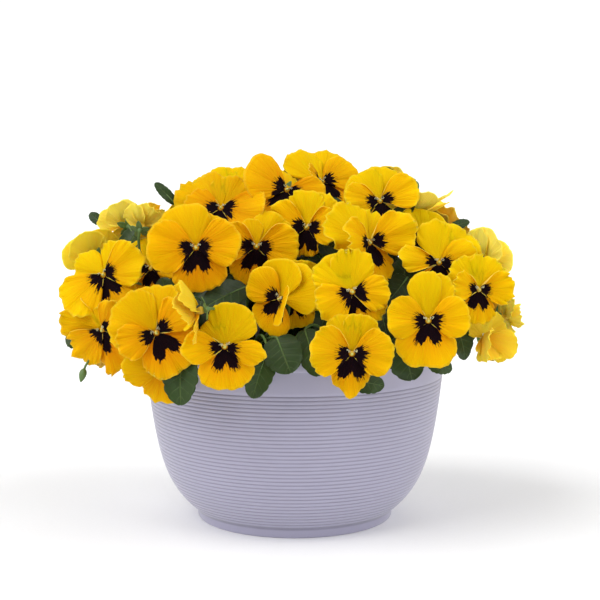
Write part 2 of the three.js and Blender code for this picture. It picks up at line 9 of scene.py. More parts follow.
import bpy
import numpy as np
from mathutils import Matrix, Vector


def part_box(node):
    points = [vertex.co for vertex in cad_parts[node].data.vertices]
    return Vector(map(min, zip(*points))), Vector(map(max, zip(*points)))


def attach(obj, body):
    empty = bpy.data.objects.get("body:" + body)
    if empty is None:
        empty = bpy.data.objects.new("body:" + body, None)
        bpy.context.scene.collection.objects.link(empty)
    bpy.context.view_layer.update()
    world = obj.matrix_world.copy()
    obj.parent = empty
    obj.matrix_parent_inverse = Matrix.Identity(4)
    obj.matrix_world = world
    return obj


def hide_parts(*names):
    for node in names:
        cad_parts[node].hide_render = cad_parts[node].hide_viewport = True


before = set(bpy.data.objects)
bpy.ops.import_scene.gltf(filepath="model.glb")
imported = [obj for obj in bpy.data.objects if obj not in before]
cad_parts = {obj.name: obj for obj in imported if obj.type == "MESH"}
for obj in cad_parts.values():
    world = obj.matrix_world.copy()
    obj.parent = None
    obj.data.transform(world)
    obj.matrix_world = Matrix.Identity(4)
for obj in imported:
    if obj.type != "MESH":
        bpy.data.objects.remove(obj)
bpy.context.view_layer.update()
MM = 0.001

bl_info = {
    "name": "Potted pansy planter",
    "version": (1, 0, 0),
    "blender": (4, 5, 0),
    "location": "View3D > Sidebar > Planter",
    "description": "Makes a ribbed bowl planted with yellow pansies, piece by piece",
    "category": "Object",
}


def colour(code):
    """Linear RGBA of an sRGB hex value: c / 12.92 below 0.04045, else ((c + 0.055) / 1.055)^2.4."""
    parts = np.array([int(code[k:k + 2], 16) / 255 for k in (0, 2, 4)])
    linear = np.where(parts <= 0.04045, parts / 12.92, ((parts + 0.055) / 1.055) ** 2.4)
    return (*linear.tolist(), 1.0)


# The planting plan

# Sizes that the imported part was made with, in millimetres.
RIM_RADIUS = 152
POT_HEIGHT = round(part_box("pot")[1].z / MM)
FOOT_RADIUS = 97
FOOT_WIDTH = 7
FOOT_HEIGHT = 8
RECESS = 4
PAD_RADIUS = 15
WALL = 3
RIM_BAND = 10
RIM_PROUD = 2
RIBS_TOP = 142
DRAIN_HOLES, DRAIN_RADIUS, DRAIN_CIRCLE = 5, 4, 60
SOIL_EDGE, SOIL_MIDDLE = 156, 161
CROWN_CIRCLE, CROWN_RADIUS, CROWN_BOTTOM, CROWN_TOP = 75, 10, 140, 170
CROWN_AZIMUTHS = (-36, 36, 108, 180, -108)
# Blooms nearer the axis than this grow from the middle crown.
MIDDLE_REACH = 95
# A petal: how far from the throat it starts, the power of its outline's cosine, and
# half the width of a notch in its edge as a share of its own.
CLAW = 1.6
FULLNESS = 0.42
NOTCH_WIDTH = 0.14
# Where a bloom's hub ends behind its throat, and the calyx that starts a gap behind it.
HUB_BACK, CALYX_LENGTH = -7, 6
GAP = 0.3
# The photograph's eye: how far in front of the pot's axis, and how high.
EYE_DISTANCE, EYE_HEIGHT = 1250, 335

# The five petals from the back layer to the front one: axis and fold direction in degrees,
# length as a share of the bloom's span, half angle, layer in mm, fold in degrees, and how far
# its own waves lift it from its neighbours in mm. The lower petal has a notch in its edge.
PETALS = {
    "upper_right": dict(axis=58, towards=90, length=0.53, half=64, layer=-3.2, fold=-6, own=-1.6),
    "upper_left": dict(axis=122, towards=90, length=0.53, half=64, layer=-1.9, fold=-6, own=-1),
    "lower": dict(axis=-90, towards=-90, length=0.5, half=58, layer=-0.5, fold=-3, notch=0.06,
                  own=-0.8),
    "left": dict(axis=172, towards=172, length=0.5, half=51, layer=1.1, fold=5, own=1.3),
    "right": dict(axis=8, towards=8, length=0.5, half=51, layer=1.1, fold=5, own=1.3),
}


def named(names, row):
    """A row of values as a dict: its first values under the names, then what a dict at its end
    adds."""
    names = names.split()
    return dict(zip(names, row), **dict(*row[len(names):]))


# Blooms in view, as in the part's source: place across, up and forward as seen from the front;
# yaw to the right, pitch up and clockwise roll; span and cup; then changes to petals, the fold
# of both upper ones (uppers), the crown, and how far the stem's neck is moved (sway).
BLOOMS_SEEN = [named("at turn span cup", row) for row in (
    ((-98, 267, 134), (0, 6, -4), 83, 2),
    ((-38, 268, 106), (0, 6, 4), 80, 2),
    ((-73, 306, 74), (-8, 36, -4), 82, 3),
    ((-8, 324, 60), (18, 26, 28), 80, 3, dict(uppers=-38)),
    ((27, 336, 14), (18, 34, -10), 80, 3, dict(left=dict(fold=45))),
    ((13, 290, 98), (-24, 10, 4), 78, 4),
    ((84, 313, 82), (8, 20, -10), 76, 2, dict(lower=dict(half=46))),
    ((74, 272, 124), (30, 10, -4), 80, 3,
     dict(uppers=-22, left=dict(fold=26), right=dict(fold=14))),
    ((143, 252, 116), (14, 18, 4), 76, 3),
    ((183, 228, 126), (18, 6, 2), 66, 2),
    ((133, 194, 166), (6, 4, 0), 77, 2),
    ((57, 223, 168), (8, 8, -18), 76, 2),
    ((57, 161, 186), (4, 4, 2), 78, 2, dict(lower=dict(half=50))),
    ((-15, 216, 150), (-30, 4, 26), 72, 3, dict(right=dict(fold=44), sway=(-26, -12, -42))),
    ((0, 219, 122), (-6, 4, 0), 66, 3),
    ((-70, 168, 186), (2, 6, -4), 78, 3),
    ((-138, 182, 166), (-6, 8, -32), 82, 3),
    ((-190, 240, 106), (-22, 12, -30), 80, 2, dict(crown=5, sway=(0, 10, -34))),
    ((-192, 185, 122), (-26, -16, -26), 74, 2),
    ((-172, 296, 28), (-105, 16, 0), 48, 12),
    ((-204, 254, 46), (-116, 6, 10), 60, 4),
    ((-150, 290, 63), (165, 35, 0), 44, 10, dict(sway=(0, -8, -38))),
    ((-112, 209, 188), (-54, -8, -20), 44, 7, dict(sway=(-6, 8, -20))),
    ((-133, 143, 144), (-10, -16, 4), 74, 3, dict(uppers=-42, right=dict(length=0.42))),
    ((130, 304, 28), (24, 76, 0), 64, 8),
    ((130, 280, 70), (12, 14, 6), 58, 3),
    ((188, 262, 66), (112, 8, 0), 66, 5),
    ((190, 176, 104), (58, -14, 10), 60, 8),
    ((214, 198, 70), (98, 6, 0), 50, 8),
    ((88, 325, 8), (168, 24, 0), 56, 4),
    ((-66, 315, 34), (-6, 38, 0), 72, 3, dict(crown=0)),
    ((-143, 246, 67), (-14, 12, -8), 66, 3),
)]

# What the scene adds to each bloom in view: how orange it is (tone), how ruffled (frill), its
# painted light and shade, a brightness that darkens or lightens it (bright, and hood for the
# upper petals), the size of its face, how pale its front and its back are, small changes of its
# place, turn, span and cup, a further shift of the stem's neck, and the size of its sepals. In
# `fine` stands the form of its petals, in the order of PETALS, by the values that FORM names; 0
# and an empty row keep what the petal has. `full` is the power of the cosine in a petal's
# outline, so a low one makes a full petal.
FORM = ("axis", "half", "length", "full", "notch", "fold")
LOOKS = [
    dict(tone=0.6, bright=0.93, hood=0.9, fine=((0, 0, 0.41), (), (), (0, 54, 0.53), ())),
    dict(tone=0.5, frill=1.2, fine=(
        (50, 56, 0.46), (114, 44, 0.33), (), (0, 0, 0.42), (6, 50, 0.49))),
    dict(tone=0.7, bright=0.93, hood=0.86, fine=(
        (66, 58, 0.48), (138, 60, 0.6), (), (0, 0, 0.42), (-12, 0, 0.54))),
    dict(tone=0.6, frill=0.4, fine=((), (), (), (182, 54, 0.56), ())),
    dict(tone=0.4, frill=0.6, at=(27, 332, 14), fine=(
        (56, 56, 0.58), (108, 46, 0.56), (), (0, 40, 0.33), ())),
    dict(tone=0.3, bright=1.02, face=1.08, at=(12, 287, 98), fine=(
        (0, 0, 0.46), (0, 0, 0.47), (0, 46, 0.36), (), (0, 0, 0.43))),
    dict(tone=0.2, fine=((50, 0, 0.5), (0, 0, 0.47), (), (0, 44, 0.46), (0, 44, 0.5))),
    dict(tone=0.3, fine=((0, 0, 0.46), (132, 62, 0.56), (), (), (12, 50, 0.56, 0.7))),
    dict(tone=0.2, frill=1.4, fine=((40, 54, 0.6), (92, 44, 0.53), (), (178, 28, 0.54), ())),
    dict(tone=0.1, frill=2, at=(183, 225, 126), fine=(
        (), (), (0, 48), (0, 42, 0.44), (0, 46, 0.49))),
    dict(tone=0.3, fine=(
        (70, 38, 0.56, 0.7), (93, 38, 0.56, 0.7), (0, 66, 0.56), (172, 50, 0.48),
        (8, 50, 0.47))),
    dict(tone=0.3, frill=1.9, fine=(
        (68, 50, 0.5), (118, 46, 0.51), (-78, 66, 0.49), (190, 0, 0.46), (-22, 46, 0.43))),
    dict(tone=0.3, bright=0.94, hood=0.9, fine=(
        (66, 48, 0.45), (108, 46, 0.45), (0, 0, 0.42, 0, -0.2), (0, 56, 0.49),
        (0, 56, 0.46))),
    dict(tone=0.4, frill=0.3),
    dict(tone=0.2),
    dict(tone=0.3, hood=0.84, face=0.88, frill=1, fine=(
        (68, 56, 0.49), (128, 50, 0.34), (0, 62, 0.5), (178, 38, 0.46, 0, -0.06),
        (-18, 30, 0.43, 0, -0.12))),
    dict(tone=0.6, fine=((), (0, 0, 0.55), (-80, 74, 0.52), (0, 42, 0.44), (0, 40, 0.46))),
    dict(tone=0.3, frill=1.2, fine=(
        (34, 54, 0.43), (136, 52, 0.44), (-74, 52, 0.46), (197, 46, 0.58), (-8, 46, 0.56))),
    dict(tone=0.7, frill=1.8, fine=(
        (76, 54, 0.27), (150, 52, 0.62), (-96, 42, 0.6), (194, 42, 0.58), ())),
    dict(tone=0, frill=0.3, bright=1.3, pale=0.5, at=(-170, 290, 28), turn=(-142, 14, 0),
         span=46, cup=10),
    dict(tone=-0.4, frill=0.3, bright=1.3, pale=0.5, back=0.4, at=(-200, 256, 46),
         turn=(-150, 14, 0)),
    dict(tone=0.1, frill=0.8, bright=1.22, pale=0.25, back=0.85, span=40, neck=(-8, 56, 0)),
    dict(tone=-0.2, frill=0.6, face=0, pale=0.05, back=0.3, at=(-99, 203, 188),
         turn=(-84, -12, -12), span=56, cup=14, neck=(0, 30, 20)),
    dict(tone=0.2, face=0),
    dict(tone=-0.4, frill=0.3, bright=1.75, pale=0.4, at=(120, 305, 38), turn=(-4, 98, 0),
         span=74, cup=16, sepal=0.5),
    dict(tone=-0.1, frill=0.2, bright=1.08, hood=1, at=(127, 277, 70)),
    dict(tone=-0.3, frill=0.3, bright=1.6, pale=0.4, at=(190, 256, 66), turn=(120, 10, 0),
         span=62, sepal=0.5),
    dict(tone=-0.2, frill=1.2, bright=1.25, face=0, pale=0.35, back=0.6, at=(189, 178, 104),
         turn=(30, -14, 10), span=64, fine=(
             (0, 0, 0.4), (128, 0, 0.36), (0, 0, 0.4, 0, 0, 40), (184, 48, 0.52, 0, 0, 48),
             (-6, 0, 0.48, 0, 0, 36))),
    dict(tone=-0.4, bright=1.6, pale=0.4, at=(211, 198, 70), fine=(
        (), (), (0, 0, 0.4), (0, 0, 0.42), ())),
    dict(tone=0, frill=0.4, bright=1.3, pale=0.4),
    dict(tone=0.2, frill=0.6, at=(-68, 321, 34), span=66),
    dict(tone=0.5),
]

# The mound of blooms is the upper part of an ellipsoid: half its sizes, and how high its
# middle stands.
MOUND = dict(width=214, depth=182, height=172, middle=172)
# Blooms on the far side: azimuth from the front, elevation on the mound, roll, span.
BLOOMS_BEHIND = [
    (88, 24, 8, 76), (106, 4, -6, 80), (-108, 2, 8, 82), (112, 40, 10, 82), (-116, 42, -8, 82),
    (-140, 12, 0, 84), (170, 4, -10, 84), (-168, 30, 12, 84), (150, 52, 0, 80), (-160, 66, 0, 80),
]

# Leaves in view: base and tip of the blade, half its width, the crown it grows from; then how
# much narrower it is seen (narrow), and how high its stalk arches (lift).
LEAF_ROW = "base tip half crown"
LEAVES_SEEN = [named(LEAF_ROW, row) for row in (
    ((-118, 310, 55), (-138, 331, 52), 8, 5, dict(narrow=0.66)),
    ((-190, 290, 4), (-203, 301, -6), 9, 5, dict(narrow=0.6)),
    ((42, 286, 46), (34, 316, 34), 14, 0),
    ((5, 272, 84), (50, 263, 90), 13, 2),
    ((-48, 228, 116), (-93, 206, 140), 14, 1),
    ((-112, 166, 158), (-115, 108, 168), 17, 1, dict(lift=30)),
    ((-27, 165, 162), (-43, 115, 168), 13, 1, dict(lift=30)),
    ((-18, 177, 160), (-4, 141, 170), 18, 1, dict(lift=6)),
    ((10, 185, 158), (23, 138, 166), 13, 2, dict(lift=20)),
    ((55, 135, 172), (90, 128, 172), 10, 2, dict(lift=50)),
    ((104, 178, 150), (117, 134, 156), 20, 2, dict(lift=20)),
    ((133, 152, 140), (158, 145, 140), 8, 2, dict(lift=40)),
    ((85, 205, 138), (95, 163, 146), 11, 2),
    ((112, 237, 106), (92, 212, 114), 12, 2),
    ((105, 215, 96), (110, 257, 94), 18, 2),
    ((103, 330, 46), (85, 345, 44), 7, 0),
    ((154, 286, 46), (173, 293, 42), 9, 3, dict(narrow=0.55)),
    ((97, 297, 58), (118, 308, 57), 7, 0),
    ((-210, 175, 84), (-229, 177, 80), 10, 5),
    ((-125, 215, 116), (-132, 237, 112), 10, 1),
)]
# Leaves that only the scene has, drawn like those in view.
LEAVES_ADDED = [named(LEAF_ROW, row) for row in (
    ((158, 196, 112), (172, 154, 110), 12, 2, dict(lift=10)),
    ((150, 234, 104), (180, 208, 108), 12, 2, dict(lift=10)),
    ((-176, 236, 90), (-190, 196, 94), 13, 5, dict(lift=10)),
    ((-170, 250, 48), (-154, 288, 40), 13, 5, dict(lift=6)),
)]
# Buds: tip, where the stem bends over, and crown.
BUDS_SEEN = [
    dict(at=(-211, 144, 112), over=(-203, 172, 104), crown=5),
    dict(at=(119, 331, -12), over=(116, 354, -22), crown=3),
]
# The seeded rules of the fill leaves and inner leaves: tries and leaves for each crown, and
# how far a leaf stays from blooms, other leaves and the middles of inner leaves.
FILL_SEED, FILL_TRIALS, FILL_COUNTS = 4711, 600, (0, 0, 0, 7, 7, 5)
BLOOM_ROOM, LEAF_ROOM = 7, 8
INNER_SEED, INNER_TRIALS, INNER_COUNT, INNER_ROOM, INNER_SPACING = 23, 1600, 30, 6, 17


# Settings
def size_setting(name, description, millimetres, least=0):
    """A length that a user would change, given in millimetres."""
    return bpy.props.FloatProperty(
        name=name, description=description, default=millimetres * MM, min=least * MM,
        unit="LENGTH", precision=5)


def colour_setting(name, description, code):
    """A colour that a user would change, given as an sRGB hex value."""
    return bpy.props.FloatVectorProperty(
        name=name, description=description, default=colour(code), size=4, min=0, max=1,
        subtype="COLOR")


class PotSettings(bpy.types.PropertyGroup):
    """The bowl and its mix"""
    groove_pitch: size_setting("Groove pitch", "Height from one groove to the next", 3.64, 2)
    groove_depth: size_setting("Groove depth", "Depth of a groove between two ribs", 0.8)
    plastic: colour_setting("Plastic", "Colour of the moulded plastic", "ACA9C0")
    soil: colour_setting("Potting mix", "Colour of the damp potting mix", "2E2118")


class BloomSettings(bpy.types.PropertyGroup):
    """The blooms"""
    thickness: size_setting("Petal thickness", "Thickness of a petal", 0.45, 0.1)
    ruffle: size_setting("Ruffle", "Height of the waves along a petal's edge", 3.0)
    yellow: colour_setting("Petal", "Colour of the upper petals", "F1C600")
    orange: colour_setting(
        "Warm petal", "Colour of the side and lower petals near the face", "E98C00")
    pale: colour_setting("Underside", "Colour of the petals' backs", "FBDE62")
    blotch: colour_setting("Blotch", "Colour of the dark face", "12050B")


class PlantSettings(bpy.types.PropertyGroup):
    """Stems and leaves"""
    stem_radius: size_setting("Stem radius", "Radius of a flower stem", 1.3, 0.3)
    leaf_thickness: size_setting("Leaf thickness", "Thickness of a leaf", 0.5, 0.1)
    leaf: colour_setting("Leaf", "Colour of a leaf", "39501F")
    stem: colour_setting("Stem", "Colour of the stems and sepals", "6C8A45")


class StageSettings(bpy.types.PropertyGroup):
    """Light and air"""
    key_strength: bpy.props.FloatProperty(
        name="Key light", description="Strength of the wide soft light from the front left",
        default=2.15, min=0)
    fill_strength: bpy.props.FloatProperty(
        name="Fill light", description="Strength of the soft light from the right",
        default=1.4, min=0)
    key_spread: bpy.props.FloatProperty(
        name="Key spread", description="Angle across the key light as the part sees it",
        default=math.radians(50), min=0, subtype="ANGLE")
    air: bpy.props.FloatProperty(
        name="Air", description="Strength of the white surroundings", default=0.42, min=0)


# Mesh making
class Surfaces:
    """Surfaces of one piece, gathered as whole arrays: points in millimetres, faces, and for
    each point a UV and two marks of three numbers that its material reads."""

    def __init__(self):
        self.points, self.uvs, self.marks, self.tints = [], [], [], []
        self.faces = {4: [np.zeros((0, 4), int)], 3: [np.zeros((0, 3), int)]}
        self.finishes = {4: [], 3: []}
        self.count = 0

    def add(self, points, groups, finish=0, uv=None, mark=None, tint=None):
        """Adds points and groups of faces, each an array of quads or of triangles."""
        points = np.asarray(points, float).reshape(-1, 3)
        total = len(points)
        self.points.append(points)
        for values, store, width in (
                (uv, self.uvs, 2), (mark, self.marks, 3), (tint, self.tints, 3)):
            store.append(np.zeros((total, width)) if values is None else values)
        for faces in groups:
            corners = faces.shape[1]
            self.faces[corners].append(faces + self.count)
            self.finishes[corners].append(np.full(len(faces), finish))
        self.count += total

    def mesh(self, name):
        """Makes the mesh in metres, with its finishes, UVs and marks."""
        points = np.concatenate(self.points) * MM
        quads, triangles = np.concatenate(self.faces[4]), np.concatenate(self.faces[3])
        finishes = np.concatenate(self.finishes[4] + self.finishes[3])
        corners = np.concatenate([quads.ravel(), triangles.ravel()])
        starts = np.concatenate(
            [np.arange(len(quads)) * 4, 4 * len(quads) + np.arange(len(triangles)) * 3])
        mesh = bpy.data.meshes.new(name)
        mesh.vertices.add(len(points))
        mesh.vertices.foreach_set("co", points.ravel())
        mesh.loops.add(len(corners))
        mesh.loops.foreach_set("vertex_index", corners)
        mesh.polygons.add(len(starts))
        mesh.polygons.foreach_set("loop_start", starts)
        mesh.polygons.foreach_set("material_index", finishes)
        mesh.polygons.foreach_set("use_smooth", np.ones(len(starts), bool))
        mesh.update(calc_edges=True)
        layer = mesh.uv_layers.new(name="Face")
        layer.data.foreach_set("uv", np.concatenate(self.uvs)[corners].ravel())
        for title, values in (("mark", self.marks), ("tint", self.tints)):
            store = mesh.attributes.new(title, "FLOAT_VECTOR", "POINT")
            store.data.foreach_set("vector", np.concatenate(values).ravel())
        if mesh.validate():
            raise RuntimeError(f"{name} has faulty faces")
        return mesh


def into_scene(name, data):
    """Makes an object of a mesh, light or camera and links it to the scene."""
    thing = bpy.data.objects.new(name, data)
    bpy.context.scene.collection.objects.link(thing)
    return thing


def show(name, surfaces, finishes, nodes):
    """Puts a piece into the scene in place of its CAD nodes."""
    mesh = surfaces.mesh(name)
    for finish in finishes:
        mesh.materials.append(finish)
    piece = into_scene(name, mesh)
    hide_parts(*nodes)
    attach(piece, "root")
    return piece


def unit(vectors):
    """Vectors divided by their lengths."""
    return vectors / np.maximum(np.linalg.norm(vectors, axis=-1, keepdims=True), 1e-9)


def smooth(low, high, value):
    """3t^2 - 2t^3 of t, the value's share of the way from low to high."""
    t = np.clip((value - low) / (high - low), 0, 1)
    return t * t * (3 - 2 * t)


def bezier(controls, t):
    """Bezier curve: the sum of C(n, k) t^k (1 - t)^(n - k) times control point k."""
    controls = np.asarray(controls, float)
    n = len(controls) - 1
    t = np.asarray(t, float)[..., None]
    return sum(
        math.comb(n, k) * t ** k * (1 - t) ** (n - k) * controls[k] for k in range(n + 1))


def round_angles(steps):
    """Angles of even steps once round."""
    return np.linspace(0, 2 * math.pi, steps, endpoint=False)


def turned(x, y, angle):
    """Points turned by an angle: x cos a - y sin a, and x sin a + y cos a."""
    return x * math.cos(angle) - y * math.sin(angle), x * math.sin(angle) + y * math.cos(angle)


def outward(azimuth, elevation):
    """Direction at an azimuth from the front and an elevation: (sin a cos e, -cos a cos e,
    sin e)."""
    return np.array([
        math.sin(azimuth) * math.cos(elevation), -math.cos(azimuth) * math.cos(elevation),
        math.sin(elevation)])


def level_right(azimuth):
    """Level direction to the right of an azimuth: (cos a, sin a, 0)."""
    return np.array([math.cos(azimuth), math.sin(azimuth), 0])


def grid_quads(rows, columns):
    """Quads of a grid whose point (i, j) is number i * columns + j."""
    corner = np.arange(rows - 1)[:, None] * columns + np.arange(columns - 1)[None, :]
    corner = corner.ravel()
    return np.stack([corner, corner + columns, corner + columns + 1, corner + 1], 1)


def sheet_faces(rows, columns):
    """Quads of a thin sheet: the upper grid, the lower grid turned over, and the rim."""
    upper = grid_quads(rows, columns)
    total = rows * columns
    lower = upper[:, ::-1] + total
    index = np.arange(total).reshape(rows, columns)
    rim = np.concatenate(
        [index[:-1, 0], index[-1, :-1], index[:0:-1, -1], index[0, :0:-1]])
    following = np.roll(rim, -1)
    sides = np.stack([rim, rim + total, following + total, following], 1)
    return np.concatenate([upper, lower, sides])


def sheet_normals(grid):
    """The cross product of a grid's differences along and across it, of any length."""
    return np.cross(np.gradient(grid, axis=0), np.gradient(grid, axis=1))


def add_sheet(surfaces, grid, thickness, uv=None, mark=None, tint=None, finish=0, under=(0, 0, 1)):
    """Adds a sheet on a grid of points: point ± unit normal × thickness / 2. Its underside has
    the mark `under`."""
    rows, columns = grid.shape[:2]
    normals = unit(sheet_normals(grid)) * (thickness / 2)
    points = np.concatenate([(grid + normals).reshape(-1, 3), (grid - normals).reshape(-1, 3)])
    total = rows * columns

    def twice(values, width):
        if values is None:
            return np.zeros((2 * total, width))
        return np.tile(values.reshape(-1, width), (2, 1))

    uvs, marks, tints = twice(uv, 2), twice(mark, 3), twice(tint, 3)
    marks[total:] = np.reshape(under, (-1, 3))
    surfaces.add(points, [sheet_faces(rows, columns)], finish, uvs, marks, tints)


def add_rings(surfaces, rings, start=None, end=None, finish=0, closed=False, tint=None):
    """Adds a surface of rings of points (row, around, xyz), closed at its ends by poles or,
    where `closed` is set, by joining the last ring to the first."""
    rows, around = rings.shape[:2]
    steps = rows if closed else rows - 1
    i, j = np.meshgrid(np.arange(steps), np.arange(around), indexing="ij")
    below, above = (i % rows) * around, ((i + 1) % rows) * around
    nearer, farther = j, (j + 1) % around
    quads = np.stack(
        [below + nearer, below + farther, above + farther, above + nearer], -1).reshape(-1, 4)
    points, groups = [rings.reshape(-1, 3)], [quads]
    pole = rows * around
    j = np.arange(around)
    following = (j + 1) % around
    if start is not None:
        points.append(np.reshape(start, (1, 3)))
        groups.append(np.stack([np.full(around, pole), following, j], 1))
        pole += 1
    if end is not None:
        points.append(np.reshape(end, (1, 3)))
        last = (rows - 1) * around
        groups.append(np.stack([np.full(around, pole), last + j, last + following], 1))
    surfaces.add(np.concatenate(points), groups, finish, tint=tint)


def tube_rings(path, radii, sides, lean):
    """Rings about a path: path + r (cos a · n + sin a · b), where n is the lean direction made
    square to the path and b is square to both."""
    tangents = unit(np.gradient(path, axis=0))
    first = unit(lean - (tangents * lean).sum(-1, keepdims=True) * tangents)
    second = np.cross(tangents, first)
    angles = round_angles(sides)
    circle = (np.cos(angles)[None, :, None] * first[:, None]
              + np.sin(angles)[None, :, None] * second[:, None])
    return path[:, None] + np.asarray(radii, float)[:, None, None] * circle


def add_tube(surfaces, path, radii, sides, finish=0):
    """Adds a closed tube along a path. Its rings start square to the path's chord and to a
    direction that no stem runs along."""
    lean = np.cross(path[-1] - path[0], (0.13, 0.31, 0.94))
    add_rings(surfaces, tube_rings(path, radii, sides, unit(lean)), path[0], path[-1], finish)


def revolve(profile, around):
    """Rings of a profile of (radius, height) turned about the Z axis."""
    profile = np.asarray(profile, float)
    angles = round_angles(around)
    return np.stack([
        profile[:, :1] * np.cos(angles), profile[:, :1] * np.sin(angles),
        np.repeat(profile[:, 1:], around, axis=1)], -1)


def copies(faces, points, count):
    """Faces of `count` copies of a small solid, each with its own run of points."""
    return (np.arange(count)[:, None, None] * points + faces[None]).reshape(-1, 3)


LUMP_WAVES = 7


def lumps(x, y, size, seed):
    """Uneven heights from about -1 to 1: the sum of sines across random directions over the
    root of their number. `size` is about the width of a lump in millimetres."""
    random = np.random.default_rng(seed)
    angles = random.uniform(0, 2 * math.pi, LUMP_WAVES)
    phases = random.uniform(0, 2 * math.pi, LUMP_WAVES)
    pitches = size * random.uniform(0.7, 1.5, LUMP_WAVES)
    total = sum(
        np.sin((x * math.cos(a) + y * math.sin(a)) * 2 * math.pi / pitch + phase)
        for a, phase, pitch in zip(angles, phases, pitches))
    return total / math.sqrt(LUMP_WAVES)


# The planting plan's rules
def seen(place):
    """Point of a place given as it is seen from the front: across and up on the plane y = 0,
    then forward of it, along the line to the eye."""
    across, up, forward = place
    nearer = (EYE_DISTANCE - forward) / EYE_DISTANCE
    return np.array([across * nearer, -forward, EYE_HEIGHT + (up - EYE_HEIGHT) * nearer])


def bloom_frame(row):
    """A bloom's own frame: its throat, aside (to the right) and up as seen face on, and out."""
    yaw, pitch, roll = np.radians(row["turn"])
    out, level = outward(yaw, pitch), level_right(yaw)
    upright = np.cross(out, level)
    centre = row["place"] if "place" in row else seen(row["at"])
    return dict(
        row, out=out, centre=centre,
        aside=level * math.cos(roll) - upright * math.sin(roll),
        up=level * math.sin(roll) + upright * math.cos(roll))


def far_side(row):
    """A bloom on the far side, facing out of the mound's ellipsoid where it stands."""
    azimuth, elevation, roll, span = row
    a, e = math.radians(azimuth), math.radians(elevation)
    place = np.array([
        MOUND["width"] * math.sin(a) * math.cos(e), -MOUND["depth"] * math.cos(a) * math.cos(e),
        MOUND["middle"] + MOUND["height"] * math.sin(e)])
    return dict(place=place, turn=(azimuth, elevation, roll), span=span, cup=3)


def on_bloom(bloom, x, y, z):
    """Points at x to the right, y up and z out of a bloom's face, from its throat."""
    x, y, z = (np.asarray(v, float)[..., None] for v in np.broadcast_arrays(x, y, z))
    return bloom["centre"] + x * bloom["aside"] + y * bloom["up"] + z * bloom["out"]


CROWNS = [np.zeros(2)] + [
    CROWN_CIRCLE * outward(math.radians(azimuth), 0)[:2] for azimuth in CROWN_AZIMUTHS]
PLAN = [bloom_frame(row) for row in BLOOMS_SEEN + [far_side(row) for row in BLOOMS_BEHIND]]


def crown_of(bloom):
    """The crown that a bloom grows from: the middle one near the top, else the nearest."""
    if "crown" in bloom:
        return bloom["crown"]
    flat = bloom["centre"][:2]
    if np.hypot(*flat) < MIDDLE_REACH:
        return 0
    return 1 + int(np.argmin([np.hypot(*(flat - crown)) for crown in CROWNS[1:]]))


BLOOMS = [
    bloom_frame({"tone": 0.3 + 0.25 * math.sin(1.7 * number), **plan, **look,
                 "crown": crown_of(plan)})
    for number, (plan, look) in enumerate(
        zip(PLAN, LOOKS + [{}] * len(BLOOMS_BEHIND)))]


def foot_of(crown, towards, spread, height):
    """Foot of a stem or stalk: at a distance from its crown's middle, on the side it goes to."""
    side = towards[:2] - CROWNS[crown]
    flat = CROWNS[crown] + side / np.hypot(*side) * spread
    return np.array([*flat, height])


def stem_controls(bloom):
    """A flower stem leaves its crown upright and bends over to the back of its bloom, lower
    for blooms high in the mound."""
    head = on_bloom(bloom, 0, 0, HUB_BACK - GAP - CALYX_LENGTH + 1)
    foot = foot_of(crown_of(bloom), head, CROWN_RADIUS * 0.62, CROWN_TOP - 3)
    rise = foot + (head - foot) * 0.2
    rise[2] = foot[2] + max(34, (head[2] - foot[2]) * 0.5)
    drop = min(14, max(-10, (head[2] - 205) * 0.4))
    neck = head - 22 * bloom["out"] - np.array([0, 0, drop])
    neck = neck + np.array(bloom.get("sway", (0, 0, 0)))
    return np.array([foot, rise, neck, head])


def leaf_frame(leaf):
    """A leaf's stalk and rib as curves' control points, and the direction across its blade."""
    start, end, facing = leaf["start"], leaf["end"], leaf["facing"]
    foot = foot_of(leaf["crown"], start, CROWN_RADIUS * 0.6, CROWN_TOP - 6)
    middle = (start + end) / 2 + facing * leaf["arch"]
    knee = foot + (start - foot) * 0.6
    knee[2] = max(foot[2], start[2]) * 0.5 + knee[2] * 0.5 + leaf.get("lift", 6)
    return dict(
        leaf, rib=np.array([start, middle, end]), stalk=np.array([foot, knee, start]),
        across=unit(np.cross(end - start, facing)))


RIB_SAMPLES, SIDE_SAMPLES, STALK_SAMPLES = (0, 0.25, 0.5, 0.75, 1), (-1, 0, 1), (0.4, 0.6, 0.8)


def samples(leaf):
    """Places on a leaf, and along its stalk, by which its room is judged."""
    spine = bezier(leaf["rib"], RIB_SAMPLES)
    sides = np.array(SIDE_SAMPLES)[None, :, None] * leaf["half"] * leaf["across"]
    blade = (spine[:, None] + sides).reshape(-1, 3)
    return np.concatenate([blade, bezier(leaf["stalk"], STALK_SAMPLES)])


def clear_of_blooms(places, room, blooms):
    """Whether places stay out of each bloom's flat drum, twice as thick where its petals fold."""
    for bloom in blooms:
        offset = places - bloom["centre"]
        height = offset @ bloom["out"]
        far = np.hypot(offset @ bloom["aside"], offset @ bloom["up"])
        needed = room * (2 if "uppers" in bloom or "left" in bloom else 1)
        if np.any((far <= bloom["span"] * 0.56 + 2) & (np.abs(height) <= needed + bloom["cup"])):
            return False
    return True


def clear_of_pot(places):
    """Whether places lie 6 mm or more above the pot's rim, or 8 mm or more outside it."""
    outside = np.hypot(places[:, 0], places[:, 1]) > RIM_RADIUS + 8
    return bool(np.all((places[:, 2] > POT_HEIGHT + 6) | outside))


def seen_leaf(row):
    """A leaf in view, facing outward from low in the mound, and towards the eye."""
    start, end = seen(row["base"]), seen(row["tip"])
    away = unit(start - np.array([0, 0, MOUND["middle"] - 40]))
    facing = unit(away + np.array([0, -1, 0.2]))
    arch = np.linalg.norm(end - start) * 0.12
    return leaf_frame(dict(row, start=start, end=end, facing=facing, arch=arch))


